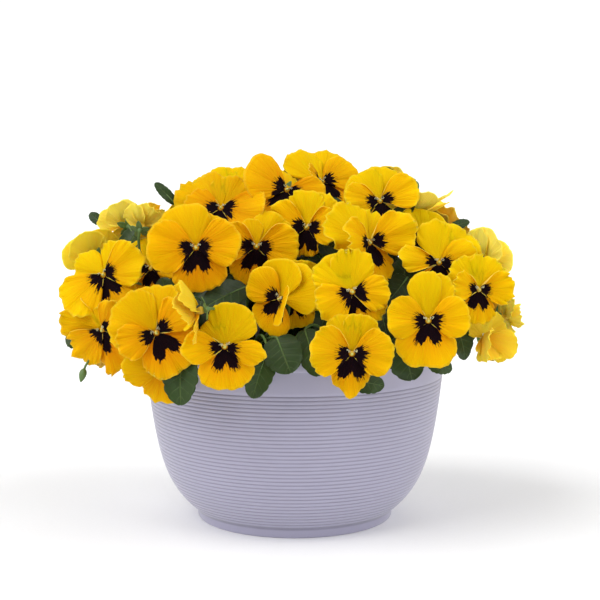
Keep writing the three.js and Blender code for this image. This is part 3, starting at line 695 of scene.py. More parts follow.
def drawn_leaf(crown, draw):
    """A fill leaf: its place round its own crown's side of the mound, its turn and length."""
    azimuth = CROWN_AZIMUTHS[crown - 1] + draw(-38, 38) if crown else draw(-180, 180)
    elevation = math.radians(draw(-4, 50) if crown else draw(50, 85))
    azimuth, depth = math.radians(azimuth), draw(0.74, 0.98)
    turn, long = math.radians(draw(-75, 75)), draw(52, 70)
    return placed_leaf(crown, azimuth, elevation, depth, turn, long, 0.38, 0.1)


def placed_leaf(crown, azimuth, elevation, depth, turn, long, width, arch):
    """A leaf on the mound's ellipsoid at a share of its size, turned in the mound's surface;
    half its width and its arch are shares of its length."""
    out = outward(azimuth, elevation)
    middle = out * (MOUND["width"], MOUND["depth"], MOUND["height"]) * depth
    middle[2] += MOUND["middle"]
    level = level_right(azimuth)
    down = np.cross(level, out)
    way = unit(down * math.cos(turn) + level * math.sin(turn) + out * 0.3)
    return leaf_frame(dict(
        crown=crown, start=middle - way * long / 2, end=middle + way * long / 2,
        facing=out, half=long * width, arch=long * arch))


def fill_leaves():
    """The leaves in view, then those of the seeded rule that the part's source uses, whose
    draws are x -> 16807 x mod 2^31 - 1."""
    state = [FILL_SEED]

    def draw(low, high):
        state[0] = (state[0] * 16807) % 2147483647
        return low + (high - low) * (state[0] / 2147483647)

    leaves = [seen_leaf(row) for row in LEAVES_SEEN]
    for crown, wanted in enumerate(FILL_COUNTS):
        stems = [bezier(stem_controls(b), np.linspace(0, 1, 15))
                 for b in PLAN if crown_of(b) != crown]
        found = 0
        for _ in range(FILL_TRIALS):
            if found == wanted:
                break
            leaf = drawn_leaf(crown, draw)
            places = samples(leaf)
            others = [samples(other) for other in leaves if other["crown"] != crown]
            others = np.concatenate(others + stems)
            if not clear_of_blooms(places, BLOOM_ROOM, PLAN) or not clear_of_pot(places):
                continue
            if np.linalg.norm(places[:, None] - others[None], axis=-1).min() >= LEAF_ROOM:
                leaves.append(leaf)
                found += 1
    return leaves


def inner_leaves(leaves):
    """Smaller leaves low in the mound, which close it behind the blooms, drawn by a seeded
    rule and taken where they clear the blooms and the middles of the other leaves."""
    random = np.random.default_rng(INNER_SEED)
    middles = [bezier(leaf["rib"], 0.5) for leaf in leaves]
    blade_samples = len(RIB_SAMPLES) * len(SIDE_SAMPLES)
    inner = []
    for crown in range(len(CROWNS)):
        found = 0
        for _ in range(INNER_TRIALS):
            if found == INNER_COUNT:
                break
            spread = random.uniform(-42, 42) if crown else random.uniform(-180, 180)
            azimuth = math.radians((CROWN_AZIMUTHS[crown - 1] if crown else 0) + spread)
            elevation = math.radians(random.uniform(8, 62) if crown else random.uniform(35, 80))
            leaf = placed_leaf(
                crown, azimuth, elevation, random.uniform(0.5, 0.86),
                math.radians(random.uniform(-80, 80)), random.uniform(38, 54), 0.4, 0.12)
            middle = bezier(leaf["rib"], 0.5)
            near = min(np.linalg.norm(middle - other) for other in middles) < INNER_SPACING
            places = samples(leaf)[:blade_samples]
            low = np.any(places[:, 2] < POT_HEIGHT - 2) or not clear_of_pot(places)
            if near or low or not clear_of_blooms(places, INNER_ROOM, BLOOMS):
                continue
            middles.append(middle)
            inner.append(dict(leaf, inner=True))
            found += 1
    return inner


# Blooms
PETAL_ROWS, PETAL_COLUMNS = 16, 37
SIDE_LIMIT = 0.985
# Seeds of the draws, to which a bloom's number is added, or ten times it and its petal's.
WAVE_SEED, FACE_SEED, HAIR_SEED, PETAL_SEED, OWN_WAVE_SEED = 1000, 9000, 7000, 2000, 5000
# The dark face: how far it reaches as a share of the bloom's span, half its width in degrees,
# and the yellow wedge in its lower lobe.
SIDE_REACH, SIDE_WIDTH, LOWER_REACH, LOWER_WIDTH = 0.162, 56, 0.288, 49
WEDGE_DEPTH, WEDGE_WIDTH = 0.34, 9
WARMTH = {"upper_right": 0.12, "upper_left": 0.12, "left": 0.6, "right": 0.6, "lower": 0.95}
# Painted shade: upper petals are a little darker than the others, and so are blooms low and
# high in the mound: by how much, and between which heights.
HOOD_SHADE, LOW_SHADE, LOW_HEIGHTS, TOP_SHADE, TOP_HEIGHTS = 0.92, 0.08, (190, 250), 0.08, (295, 330)
# The most painted light that a bloom's front takes; its back may take more.
FRONT_LIMIT = 1.25
# The throat in millimetres: heights and radii of its neck, where its round style stands, how
# wide and high that is, and its hairs.
NECK = ((HUB_BACK, 2.6), (-5.5, 3.4), (-3.6, 3.2), (-1.2, 2.4), (0.4, 2.1), (1, 1.2))
THROAT_STEPS, NECK_TOP = 12, 1.2
STYLE_DROP, STYLE_HEIGHT, STYLE_RADIUS, STYLE_TALL = -0.4, 1.7, 1.25, 1.15
HAIRS, HAIR_RADIUS, HAIR_ROOT = 34, 0.34, 1.4


def petal_random(seed, number, name):
    """Random draws of one petal of its own."""
    return np.random.default_rng(seed + 10 * number + list(PETALS).index(name))


def blotch_reach(name, degrees):
    """How far the dark face reaches along a direction, as a share of the bloom's span: a side
    petal has a fan that is flat topped like exp(-x^4), and the lower petal a wider fan that a
    yellow wedge parts into two lobes."""
    if name in ("left", "right"):
        across = degrees - 180 if name == "left" else -degrees
        return SIDE_REACH * np.exp(-(across / SIDE_WIDTH) ** 4) + 0.12 * smooth(32, 50, across)
    if name == "lower":
        fan = np.exp(-((degrees + 90) / LOWER_WIDTH) ** 8)
        wedge = WEDGE_DEPTH * np.exp(-((degrees + 90) / WEDGE_WIDTH) ** 2)
        return LOWER_REACH * fan * (1 - wedge)
    return np.zeros_like(degrees)


def petal_grid(bloom, shape, name, number, ruffle):
    """A petal as a fan: direction = axis + half · sin(s π/2) across it, and distance from the
    claw to span · length · cos(s π/2)^0.42 along it; dished as cup · (r / R)^2, folded about a
    line through the throat, pleated along its veins, and waved and crinkled towards its edge
    by sums of sines of the direction, each with its number of waves in a whole turn."""
    random = np.random.default_rng(WAVE_SEED + number)
    waves = random.uniform(0, 2 * math.pi, 12)
    phases = petal_random(OWN_WAVE_SEED, number, name).uniform(0, 2 * math.pi, 6)
    side = np.linspace(-SIDE_LIMIT, SIDE_LIMIT, PETAL_COLUMNS)[None, :]
    along = (np.linspace(0, 1, PETAL_ROWS)[:, None]) ** 0.85
    # A narrow petal widens at its claw, so that the petals overlap at the throat.
    half = shape["half"] + max(0, 60 - shape["half"]) * (1 - along) ** 3
    direction = np.radians(shape["axis"] + half * np.sin(side * math.pi / 2))
    share = np.cos(side * math.pi / 2) ** shape.get("full", FULLNESS)
    share = share - shape.get("notch", 0) * np.exp(-(side / NOTCH_WIDTH) ** 2)
    frill = bloom.get("frill", random.uniform(0.9, 2.0))
    edge = 1 + 0.016 * np.sin(9 * direction + phases[0])
    edge = edge + frill * 0.013 * np.sin(22 * direction + phases[1] + 2 * np.sin(5 * direction))
    edge = edge + frill * 0.007 * np.sin(47 * direction + phases[2])
    reach = bloom["span"] * shape["length"] * share * edge
    far = CLAW + (reach - CLAW) * along
    outer = far / (bloom["span"] / 2)
    lift = bloom["cup"] * outer ** 2
    lift = lift + min(1, frill + 0.2) * ruffle * outer ** 2.2 * (
        0.62 * np.sin(4 * direction + waves[0]) + 0.5 * np.sin(7 * direction + waves[1])
        + 0.32 * np.sin(12 * direction + waves[2]))
    own_waves = 0.3 * np.sin(6 * direction + phases[3]) + 0.2 * np.sin(11 * direction + phases[4])
    lift = lift + shape["own"] * along ** 3 * (0.5 + own_waves)
    crinkle = np.sin(25 * direction + phases[5] + 2 * np.sin(7 * direction + phases[4]))
    lift = lift + frill * 0.5 * ruffle * along ** 7 * crinkle
    lift = lift - (1.4 + 1.6 * math.sin(phases[0])) * along ** 5
    pleats = np.sin(31 * direction + 3 * np.sin(5 * direction + phases[1]))
    lift = lift + 0.22 * smooth(0.12, 0.5, outer) * pleats
    towards = math.radians(shape["towards"])
    folded = far * np.cos(direction - towards)
    fold = np.radians(shape["fold"]) * smooth(-2, 9, folded)
    run = folded * np.cos(fold) - lift * np.sin(fold)
    height = folded * np.sin(fold) + lift * np.cos(fold)
    x, y = turned(run, far * np.sin(direction - towards), towards)
    layer = shape["layer"] * (0.3 + 0.7 * smooth(0, 15, far))
    return on_bloom(bloom, x, y, height + layer), direction, far, along


def add_petal(surfaces, bloom, name, number, thickness, ruffle):
    """Adds one petal, its own length, axis and fold a little off the plan as in life."""
    own = petal_random(PETAL_SEED, number, name)
    shape = dict(PETALS[name])
    shape["length"] *= own.uniform(0.93, 1.01)
    shape["axis"] += own.uniform(-4, 4)
    shape["fold"] += own.uniform(-5, 5)
    form = dict(zip(PETALS, bloom.get("fine", ()))).get(name, ())
    shape.update({key: value for key, value in zip(FORM, form) if value})
    shape.update(bloom.get(name, {}))
    upper = name.startswith("upper")
    if upper and "uppers" in bloom:
        shape["fold"] = bloom["uppers"]
    grid, direction, far, along = petal_grid(bloom, shape, name, number, ruffle)
    size = bloom.get("face", 1) * np.random.default_rng(FACE_SEED + number).uniform(0.94, 1.06)
    reach = blotch_reach(name, np.degrees(direction)) * size
    height = bloom["centre"][2]
    # A petal's brightness mark: a random tone of its own, darkened by painted shade on blooms low
    # and high in the mound and on upper petals.
    bright = own.uniform(0.94, 1.06)
    bright = bright * (1 - LOW_SHADE + LOW_SHADE * smooth(*LOW_HEIGHTS, height))
    bright = bright * (1 - TOP_SHADE * smooth(*TOP_HEIGHTS, height))
    bright = bright * (bloom.get("hood", HOOD_SHADE) if upper else 1)
    # The bloom's painted light and shade (bright). Where the underside is in view, only the
    # underside is made lighter by painted light.
    light, back = bloom.get("bright", 1), bloom.get("back", 1)
    flat = np.ones_like(far)
    mark = np.stack(
        [flat * reach, flat * bright * min(light, FRONT_LIMIT), flat * bloom.get("pale", 0)], -1)
    under = np.stack([flat * reach * (back == 1), flat * bright * light, flat * back], -1)
    tint = np.stack([flat * WARMTH[name], flat * bloom["tone"], along * flat], -1)
    # Each bloom reads its streaks from a stretch of noise of its own.
    turns = flat * direction / (2 * math.pi) + number * 3.17
    uv = np.stack([turns, far / bloom["span"]], -1)
    add_sheet(surfaces, grid, thickness, uv, mark, tint, under=under)


def add_throat(surfaces, bloom, number):
    """The throat: a short neck behind the petals, an ochre mouth, a round pale style, and two
    tufts of cream hairs, each hair a pyramid of three sides."""
    angles = round_angles(THROAT_STEPS)
    heights, radii = np.array(NECK).T[..., None]
    rings = on_bloom(bloom, radii * np.cos(angles), radii * np.sin(angles), heights + 0 * angles)
    ends = [on_bloom(bloom, 0, 0, height) for height in (HUB_BACK, NECK_TOP)]
    add_rings(surfaces, rings, *ends, 1)
    tilt = np.linspace(0, math.pi, 8)[1:-1, None]
    knob = on_bloom(
        bloom, STYLE_RADIUS * np.sin(tilt) * np.cos(angles),
        STYLE_DROP + STYLE_RADIUS * np.sin(tilt) * np.sin(angles),
        STYLE_HEIGHT - STYLE_TALL * np.cos(tilt) + 0 * angles)
    ends = [on_bloom(bloom, 0, STYLE_DROP, STYLE_HEIGHT + end) for end in (-STYLE_TALL, STYLE_TALL)]
    add_rings(surfaces, knob, *ends, 2)
    random = np.random.default_rng(HAIR_SEED + number)
    side = np.where(np.arange(HAIRS) % 2, 1.0, -1.0)
    x = side * random.uniform(1.5, 4.6, HAIRS)
    y = random.uniform(0.6, 2.6, HAIRS) + 0.25 * np.abs(x)
    root = np.stack([x, y, np.full(HAIRS, HAIR_ROOT)], -1)
    tip = root + np.stack([
        side * random.uniform(-1.3, 0.3, HAIRS), random.uniform(-1.6, 0.2, HAIRS),
        random.uniform(0.9, 2.2, HAIRS)], -1)
    corner = np.radians([90, 210, 330])
    ring = np.stack([np.cos(corner), np.sin(corner), 0 * corner], -1) * HAIR_RADIUS
    points = np.concatenate([root[:, None] + ring[None], tip[:, None]], 1)
    points = on_bloom(bloom, *np.moveaxis(points, -1, 0)).reshape(-1, 3)
    sides = np.array([[0, 1, 3], [1, 2, 3], [2, 0, 3], [2, 1, 0]])
    surfaces.add(points, [copies(sides, 4, HAIRS)], 3)


def make_blooms(settings):
    """Each bloom: five petals in their layers, and the throat."""
    finishes = [petal_finish(settings), *small_finishes()]
    for number, bloom in enumerate(BLOOMS):
        surfaces = Surfaces()
        for name in PETALS:
            add_petal(
                surfaces, bloom, name, number, settings.thickness / MM, settings.ruffle / MM)
        add_throat(surfaces, bloom, number)
        show(f"pansy_bloom_{number + 1:02d}", surfaces, finishes,
             [f"bloom_{number + 1:02d}"])


# Plants
LEAF_TEETH = 6
LEAF_VEINS = 6
LEAF_GRID, INNER_GRID = (41, 23), (14, 9)
LEAF_SEED, SEPAL_SEED = 300, 600
# Sepals and buds in millimetres, and the steps round a bud.
SEPALS, SEPAL_LENGTHS, SEPAL_HALF, SEPAL_THICKNESS = 5, (12, 16), 2.7, 0.5
BUD_LENGTH, BUD_RADIUS, BUD_STEPS = 13.5, 3.3, 15
# The greatest of u^0.42 (1 - u)^0.56, by which a blade's width is set to 1.
WIDEST = 0.512


def add_leaf(surfaces, leaf, number, thickness):
    """A leaf: half width · u^0.42 (1 - u)^0.56 along its rib, scalloped by |sin|, folded up a
    little about the rib, and puckered between veins that lie in furrows exp(-(d / w)^2) deep;
    its stalk is a tube."""
    inner = leaf.get("inner", False)
    rows, columns = INNER_GRID if inner else LEAF_GRID
    random = np.random.default_rng(LEAF_SEED + number)
    phases = random.uniform(0, 2 * math.pi, 4)
    u = np.linspace(0.004, 0.996, rows)[:, None]
    v = np.linspace(-1, 1, columns)[None, :]
    side = np.abs(v)
    width = u ** 0.42 * (1 - u) ** 0.56 / WIDEST
    teeth = 0.92 + 0.1 * np.abs(np.sin(math.pi * LEAF_TEETH * u + 0.3)) ** 0.7
    spread = v * (1 + (teeth - 1) * side ** 4)
    rib = bezier(leaf["rib"], u[:, 0])[:, None]
    tangents = unit(np.gradient(rib, axis=0))
    facing = unit(np.cross(leaf["across"], tangents))
    facing = facing * np.sign((facing * leaf["facing"]).sum(-1, keepdims=True))
    half = leaf["half"] * leaf.get("narrow", 1)
    fold, sag = random.uniform(0.1, 0.26), random.uniform(-0.06, 0.1)
    rise = half * width * fold * side ** 1.4
    rise = rise - half * sag * u ** 2 * 2
    rise = rise + 0.07 * half * np.sin(8 * u + phases[0] + 2.0 * side) * side ** 2
    rise = rise + 0.035 * half * np.sin(17 * u + 3 * v + phases[1]) * side
    step = ((u - 0.2 * side) * LEAF_VEINS + 0.5) % 1 - 0.5
    furrow = 0.45 * np.exp(-(step / 0.13) ** 2) * (1 - side) ** 0.5 * smooth(0, 0.12, side)
    furrow = furrow + 0.6 * np.exp(-(side / 0.09) ** 2) - 0.3 * (1 - (2 * step) ** 2) * (1 - side)
    rise = rise - 0.045 * min(half, 14) * furrow * np.sin(math.pi * u) ** 0.5
    grid = (rib + leaf["across"] * (half * width * spread)[..., None]
            + facing * rise[..., None])
    flat = np.ones((rows, columns))
    uv = np.stack([u * flat, v * flat], -1)
    tint = np.stack([flat * random.uniform(0, 1), flat * half, flat * inner], -1)
    # A blade whose grid faces inward is turned over.
    if sheet_normals(grid).sum((0, 1)) @ leaf["facing"] < 0:
        grid, uv, tint = grid[:, ::-1], uv[:, ::-1], tint[:, ::-1]
    add_sheet(surfaces, grid, thickness, uv, None, tint)
    stalk = bezier(leaf["stalk"], np.linspace(0, 1, 12))
    stalk = np.concatenate([stalk, bezier(leaf["rib"], [0.08, 0.2, 0.4])])
    radii = np.concatenate([np.linspace(1.5, 1.1, 12), [1.0, 0.75, 0.4]])
    add_tube(surfaces, stalk, radii, 5 if inner else 6, finish=1)


def add_stem(surfaces, bloom, number, radius):
    """A flower stem, the calyx that it widens into, and five pointed sepals behind the petals."""
    controls = stem_controls(bloom)
    controls[2] += bloom.get("neck", 0)
    path = bezier(controls, np.linspace(0, 1, 22))
    calyx_back = HUB_BACK - GAP
    backs = [calyx_back - 3.6, calyx_back - 1.6, calyx_back]
    path = np.concatenate([path, [on_bloom(bloom, 0, 0, back) for back in backs]])
    radii = np.concatenate([np.linspace(1.3, 1.0, 21) * radius, [radius, 2.4, 3.4, 2.9]])
    add_tube(surfaces, path, radii, 9, finish=1)
    random = np.random.default_rng(SEPAL_SEED + number)
    for sepal in range(SEPALS):
        angle = math.radians(90 + 360 / SEPALS * sepal + random.uniform(-9, 9))
        long = random.uniform(*SEPAL_LENGTHS) * min(1, bloom["span"] / 70) * bloom.get("sepal", 1)
        u = np.linspace(0.02, 0.99, 9)[:, None]
        v = np.linspace(-1, 1, 5)[None, :]
        half = SEPAL_HALF * np.sin(math.pi * u ** 0.8) ** 0.7 + 0.3
        back = calyx_back - 2.2 + 2.0 * u ** 1.5 - 0.5 * np.abs(v) + 0 * v
        grid = on_bloom(bloom, *turned(1.6 + long * u + 0 * v, half * v, angle), back)
        add_sheet(surfaces, grid, SEPAL_THICKNESS, finish=1)


def add_bud(surfaces, bud):
    """A green bud on its stem: rings whose radius is that of an egg, 3.3 · sin(π u^0.75)^0.75,
    with five ridges for its folded sepals."""
    end, over = seen(bud["at"]), seen(bud["over"])
    foot = foot_of(bud["crown"], end, CROWN_RADIUS * 0.4, CROWN_TOP - 4)
    rise = foot + (end - foot) * 0.5
    rise[2] = max((foot[2] + end[2]) / 2, POT_HEIGHT + 30)
    controls = np.array([foot, rise, over, end])
    add_tube(surfaces, bezier(controls, np.linspace(0, 1, 20)), np.linspace(1.5, 1.1, 20), 7, 1)
    way = unit(end - over)
    u = np.linspace(0.03, 0.985, 12)
    path = end + way * (u[:, None] * BUD_LENGTH - 2)
    radii = BUD_RADIUS * np.sin(math.pi * u ** 0.75) ** 0.75
    rings = tube_rings(path, radii, BUD_STEPS, unit(np.cross(way, (0.2, 0.9, 0.1))))
    ribbed = 1 + 0.08 * np.cos(SEPALS * round_angles(BUD_STEPS))
    rings = path[:, None] + (rings - path[:, None]) * ribbed[None, :, None]
    add_rings(surfaces, rings, path[0] - way * 0.3, path[-1] + way * 0.3, 1)


def make_plants(settings):
    """Each plant: a crown, and the stems, leaves and buds that grow from it."""
    leaves = fill_leaves()
    leaves = leaves + inner_leaves(leaves) + [seen_leaf(row) for row in LEAVES_ADDED]
    finishes = [leaf_finish(settings), stem_finish(settings)]
    for crown, flat in enumerate(CROWNS):
        surfaces = Surfaces()
        heights = np.linspace(CROWN_BOTTOM, CROWN_TOP + 2, 9)
        path = np.stack([np.full(9, flat[0]), np.full(9, flat[1]), heights], -1)
        radii = np.interp(heights, [CROWN_BOTTOM, CROWN_TOP - 8, CROWN_TOP + 2], [9.5, 8.5, 3])
        add_tube(surfaces, path, radii, 14, finish=1)
        for number, bloom in enumerate(BLOOMS):
            if crown_of(bloom) == crown:
                add_stem(surfaces, bloom, number, settings.stem_radius / MM)
        for number, leaf in enumerate(leaves):
            if leaf["crown"] == crown:
                add_leaf(surfaces, leaf, number, settings.leaf_thickness / MM)
        for bud in BUDS_SEEN:
            if bud["crown"] == crown:
                add_bud(surfaces, bud)
        show(f"pansy_plant_{crown + 1}", surfaces, finishes, [f"plant_{crown + 1}"])


# Pot and soil
WALL_CURVE = np.array([
    [FOOT_RADIUS + 3, FOOT_HEIGHT + 1.5], [RIM_RADIUS - 22, 34], [RIM_RADIUS - 12, 62],
    [RIM_RADIUS - RIM_PROUD, POT_HEIGHT - 5]])
# The round wall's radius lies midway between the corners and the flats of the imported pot.
ROUNDING = 0.995
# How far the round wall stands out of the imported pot's curve, and the steps of the meshes.
PROUD = 0.3
POT_STEPS, BASE_STEPS, DRAIN_STEPS, SOIL_STEPS, GROOVE_ROWS = 168, 72, 24, 132, 7
FLOOR_TOP = RECESS + WALL
# Crumbs lie on the mix up to 3 mm from its edge.
CRUMBS, CRUMB_SEED, CRUMB_EDGE = 900, 11, 3


def wall_radius(height):
    """Radius of the pot's outer face at a height, read off its Bezier curve."""
    curve = bezier(WALL_CURVE, np.linspace(0, 1, 400))
    return np.interp(height, curve[:, 1], curve[:, 0]) * ROUNDING


def make_pot(settings):
    """The bowl: one ring-shaped profile turned about Z. Each rib is a flattened arch,
    depth · (|sin|^0.5 - 1), so that the grooves between them are narrow. A round base with
    drain holes closes it."""
    pitch, depth = settings.groove_pitch / MM, settings.groove_depth / MM
    grooves = int(round((RIBS_TOP - FOOT_HEIGHT - 3) / pitch))
    low = RIBS_TOP - grooves * pitch
    heights = np.linspace(low, RIBS_TOP, grooves * GROOVE_ROWS + 1)
    arch = np.abs(np.sin(math.pi * (heights - low) / pitch)) ** 0.5
    outer = np.stack([wall_radius(heights) + PROUD + depth * (arch - 1), heights], -1)
    rim_foot = POT_HEIGHT - RIM_BAND
    band = np.linspace(RIBS_TOP + 0.8, rim_foot - 0.6, 8)
    smooth_band = np.stack([wall_radius(band) + PROUD, band], -1)
    rim_out = RIM_RADIUS * ROUNDING
    edge = [(wall_radius(rim_foot) + 0.4, rim_foot - 0.1)]
    edge += [(rim_out + out, rim_foot + up) for out, up in ((-0.5, 0.4), (0, 1), (0.1, 5))]
    edge += [(rim_out - inside, POT_HEIGHT - down) for inside, down in (
        (0, 1.9), (0.35, 0.9), (1.1, 0.25), (2, 0.05), (3.3, 0.1), (4.2, 0.6), (4.6, 1.6))]
    inner_heights = np.array([rim_foot, 150, 120, 95, 75, 55, 35, 20, 12])
    inner = np.stack([wall_radius(inner_heights) - WALL - 0.4, inner_heights], -1)
    foot = [(FOOT_RADIUS - inside, height) for inside, height in (
        (4, FLOOR_TOP), (FOOT_WIDTH + 0.5, FLOOR_TOP - 0.2), (FOOT_WIDTH, RECESS),
        (FOOT_WIDTH, 0.6), (FOOT_WIDTH - 0.6, 0), (1, 0), (0.2, 0.5), (-0.2, 1.4),
        (-0.9, FOOT_HEIGHT - 1), (-1.8, FOOT_HEIGHT + 0.6))]
    profile = np.concatenate([foot, outer, smooth_band, edge, inner])
    # Painted shade: a mark of how dark each point is painted, 1 in the depth of a groove and 0.8
    # where the foot meets the wall.
    groove = np.zeros(len(profile))
    groove[len(foot):len(foot) + len(outer)] = 1 - arch
    groove[len(foot) - 1:len(foot) + 2] = 0.8
    surfaces = Surfaces()
    add_rings(surfaces, revolve(profile, POT_STEPS), closed=True,
              tint=np.repeat(groove, POT_STEPS)[:, None] * (1.0, 0, 0))
    plastic = plastic_finish(settings)
    show("pot_bowl", surfaces, [plastic], ["pot"])

    floor = Surfaces()
    lip = FOOT_RADIUS - FOOT_WIDTH + 0.5
    top = FLOOR_TOP - 0.3
    slab = [(PAD_RADIUS, 0), (PAD_RADIUS + 0.3, RECESS), (lip, RECESS), (lip, top)]
    add_rings(floor, revolve(slab, BASE_STEPS), (0, 0, 0), (0, 0, top))
    base = show("pot_base", floor, [plastic], ["pot"])
    cutter = Surfaces()
    for angle in round_angles(DRAIN_HOLES):
        middle = np.array([DRAIN_CIRCLE * math.cos(angle), DRAIN_CIRCLE * math.sin(angle), 0])
        rings = revolve([(DRAIN_RADIUS, -5), (DRAIN_RADIUS, 20)], DRAIN_STEPS) + middle
        add_rings(cutter, rings, middle - (0, 0, 5), middle + (0, 0, 20))
    drill = into_scene("drill", cutter.mesh("drill"))
    cut = base.modifiers.new("drain_holes", "BOOLEAN")
    cut.object, cut.operation, cut.solver = drill, "DIFFERENCE", "EXACT"
    drilled = bpy.data.meshes.new_from_object(
        base.evaluated_get(bpy.context.evaluated_depsgraph_get()))
    if len(drilled.polygons) <= len(base.data.polygons):
        raise RuntimeError("the drain holes were not cut")
    base.modifiers.clear()
    base.data = drilled
    bpy.data.objects.remove(drill)


def soil_lumps(x, y):
    """Lumps of two sizes on the mix, about 24 and 7 mm wide."""
    return 1.5 * lumps(x, y, 24, 3) + 0.7 * lumps(x, y, 7, 4)


def make_soil(settings):
    """Potting mix: a turned solid whose top is raised in lumps, with crumbs of eight faces
    scattered over it."""
    sides = [(FOOT_RADIUS - 5.5, FLOOR_TOP + 0.4), (FOOT_RADIUS + 1, 20)]
    sides += [(wall_radius(h) - WALL - 1.2, h) for h in (35, 55, 75, 100, 120, 140, SOIL_EDGE - 3)]
    edge = wall_radius(SOIL_EDGE) - WALL - 1.4
    dome = [0, RIM_RADIUS * 0.6, edge], [SOIL_MIDDLE, SOIL_MIDDLE - 1, SOIL_EDGE]
    radii = np.linspace(edge, 1.0, 44)
    top = np.stack([radii, np.interp(radii, *dome)], -1)
    rings = revolve(np.concatenate([sides, top]), SOIL_STEPS)
    x, y, z = np.moveaxis(rings[len(sides):], -1, 0)
    z += soil_lumps(x, y) + 0.4 * lumps(x, y, 3.4, 5)
    surfaces = Surfaces()
    add_rings(surfaces, rings, (0, 0, FLOOR_TOP + 0.4), (0, 0, SOIL_MIDDLE))
    random = np.random.default_rng(CRUMB_SEED)
    far = np.sqrt(random.uniform(0, 1, CRUMBS)) * (edge - CRUMB_EDGE)
    angle = random.uniform(0, 6.283, CRUMBS)
    x, y = far * np.cos(angle), far * np.sin(angle)
    middle = np.stack([x, y, np.interp(far, *dome) + soil_lumps(x, y)], -1)
    axes = np.array([[1, 0, 0], [0, 1, 0], [-1, 0, 0], [0, -1, 0], [0, 0, 1], [0, 0, -1]], float)
    sizes = random.uniform(0.6, 2.1, (CRUMBS, 1, 1)) * random.uniform(0.6, 1.2, (CRUMBS, 6, 1))
    points = middle[:, None] + axes[None] * sizes
    faces = np.array([[0, 1, 4], [1, 2, 4], [2, 3, 4], [3, 0, 4],
                      [1, 0, 5], [2, 1, 5], [3, 2, 5], [0, 3, 5]])
    surfaces.add(points.reshape(-1, 3), [copies(faces, 6, CRUMBS)])
    show("potting_mix", surfaces, [peat_finish(settings)], ["soil"])


# Finishes

# Two settings of a Math node: a · b + c, and the same held between 0 and 1.
SCALED = dict(operation="MULTIPLY_ADD")
CLAMPED = dict(SCALED, use_clamp=True)


def put(tree, kind, inputs=(), **settings):
    """Adds a node with its settings, sets or links its inputs, which are given in order or by
    name, and hands back its outputs."""
    node = tree.nodes.new("ShaderNode" + kind)
    for name, value in settings.items():
        setattr(node, name, value)
    for name, value in inputs.items() if isinstance(inputs, dict) else enumerate(inputs):
        if isinstance(value, bpy.types.NodeSocket):
            tree.links.new(value, node.inputs[name])
        else:
            node.inputs[name].default_value = value
    return node.outputs


def new_finish(name):
    """A material, and its node tree with nothing in it."""
    finish = bpy.data.materials.new(name)
    finish.use_nodes = True
    finish.node_tree.nodes.clear()
    return finish, finish.node_tree


def close_finish(tree, surface, **values):
    """Puts the principled shader at the end of a finish, with its constants on its sockets."""
    inputs = {"Base Color": surface}
    inputs.update({name.replace("_", " "): value for name, value in values.items()})
    shader = put(tree, "BsdfPrincipled", inputs)
    put(tree, "OutputMaterial", {"Surface": shader[0]})


def numbers(tree, title):
    """The three numbers that a mesh stores for each point under a title."""
    stored = put(tree, "Attribute", attribute_name=title)["Vector"]
    return put(tree, "SeparateXYZ", [stored])


def per_metre(millimetres):
    """Scale of a noise in metres whose grains are a number of millimetres apart."""
    return 1000 / millimetres


def layered(tree, ground, layers):
    """A ground colour with others mixed over it in turn, each by its share."""
    for share, tone in layers:
        ground = put(tree, "Mix", {0: share, 6: ground, 7: tone}, data_type="RGBA")[2]
    return ground


def mottle(tree, dark, light, grain, detail=2.0, roughness=0.5):
    """Two colours mixed by noise in the piece's own space, its grain in millimetres; gives the
    colour and the noise."""
    noise = put(tree, "TexNoise", {
        "Vector": put(tree, "TexCoord")["Object"], "Scale": per_metre(grain), "Detail": detail,
        "Roughness": roughness})["Fac"]
    return layered(tree, dark, [(noise, light)]), noise


def streaks(tree, uv, around, outward, detail):
    """Noise that is fine around the throat and long outward: `around` is its streaks in a whole
    turn, and `outward` its lumps in a bloom's span."""
    place = put(tree, "VectorMath", [uv, (around, outward, 0)], operation="MULTIPLY")[0]
    return put(tree, "TexNoise", {
        "Vector": place, "Scale": 1.0, "Detail": detail, "Roughness": 0.6},
        noise_dimensions="2D")["Fac"]


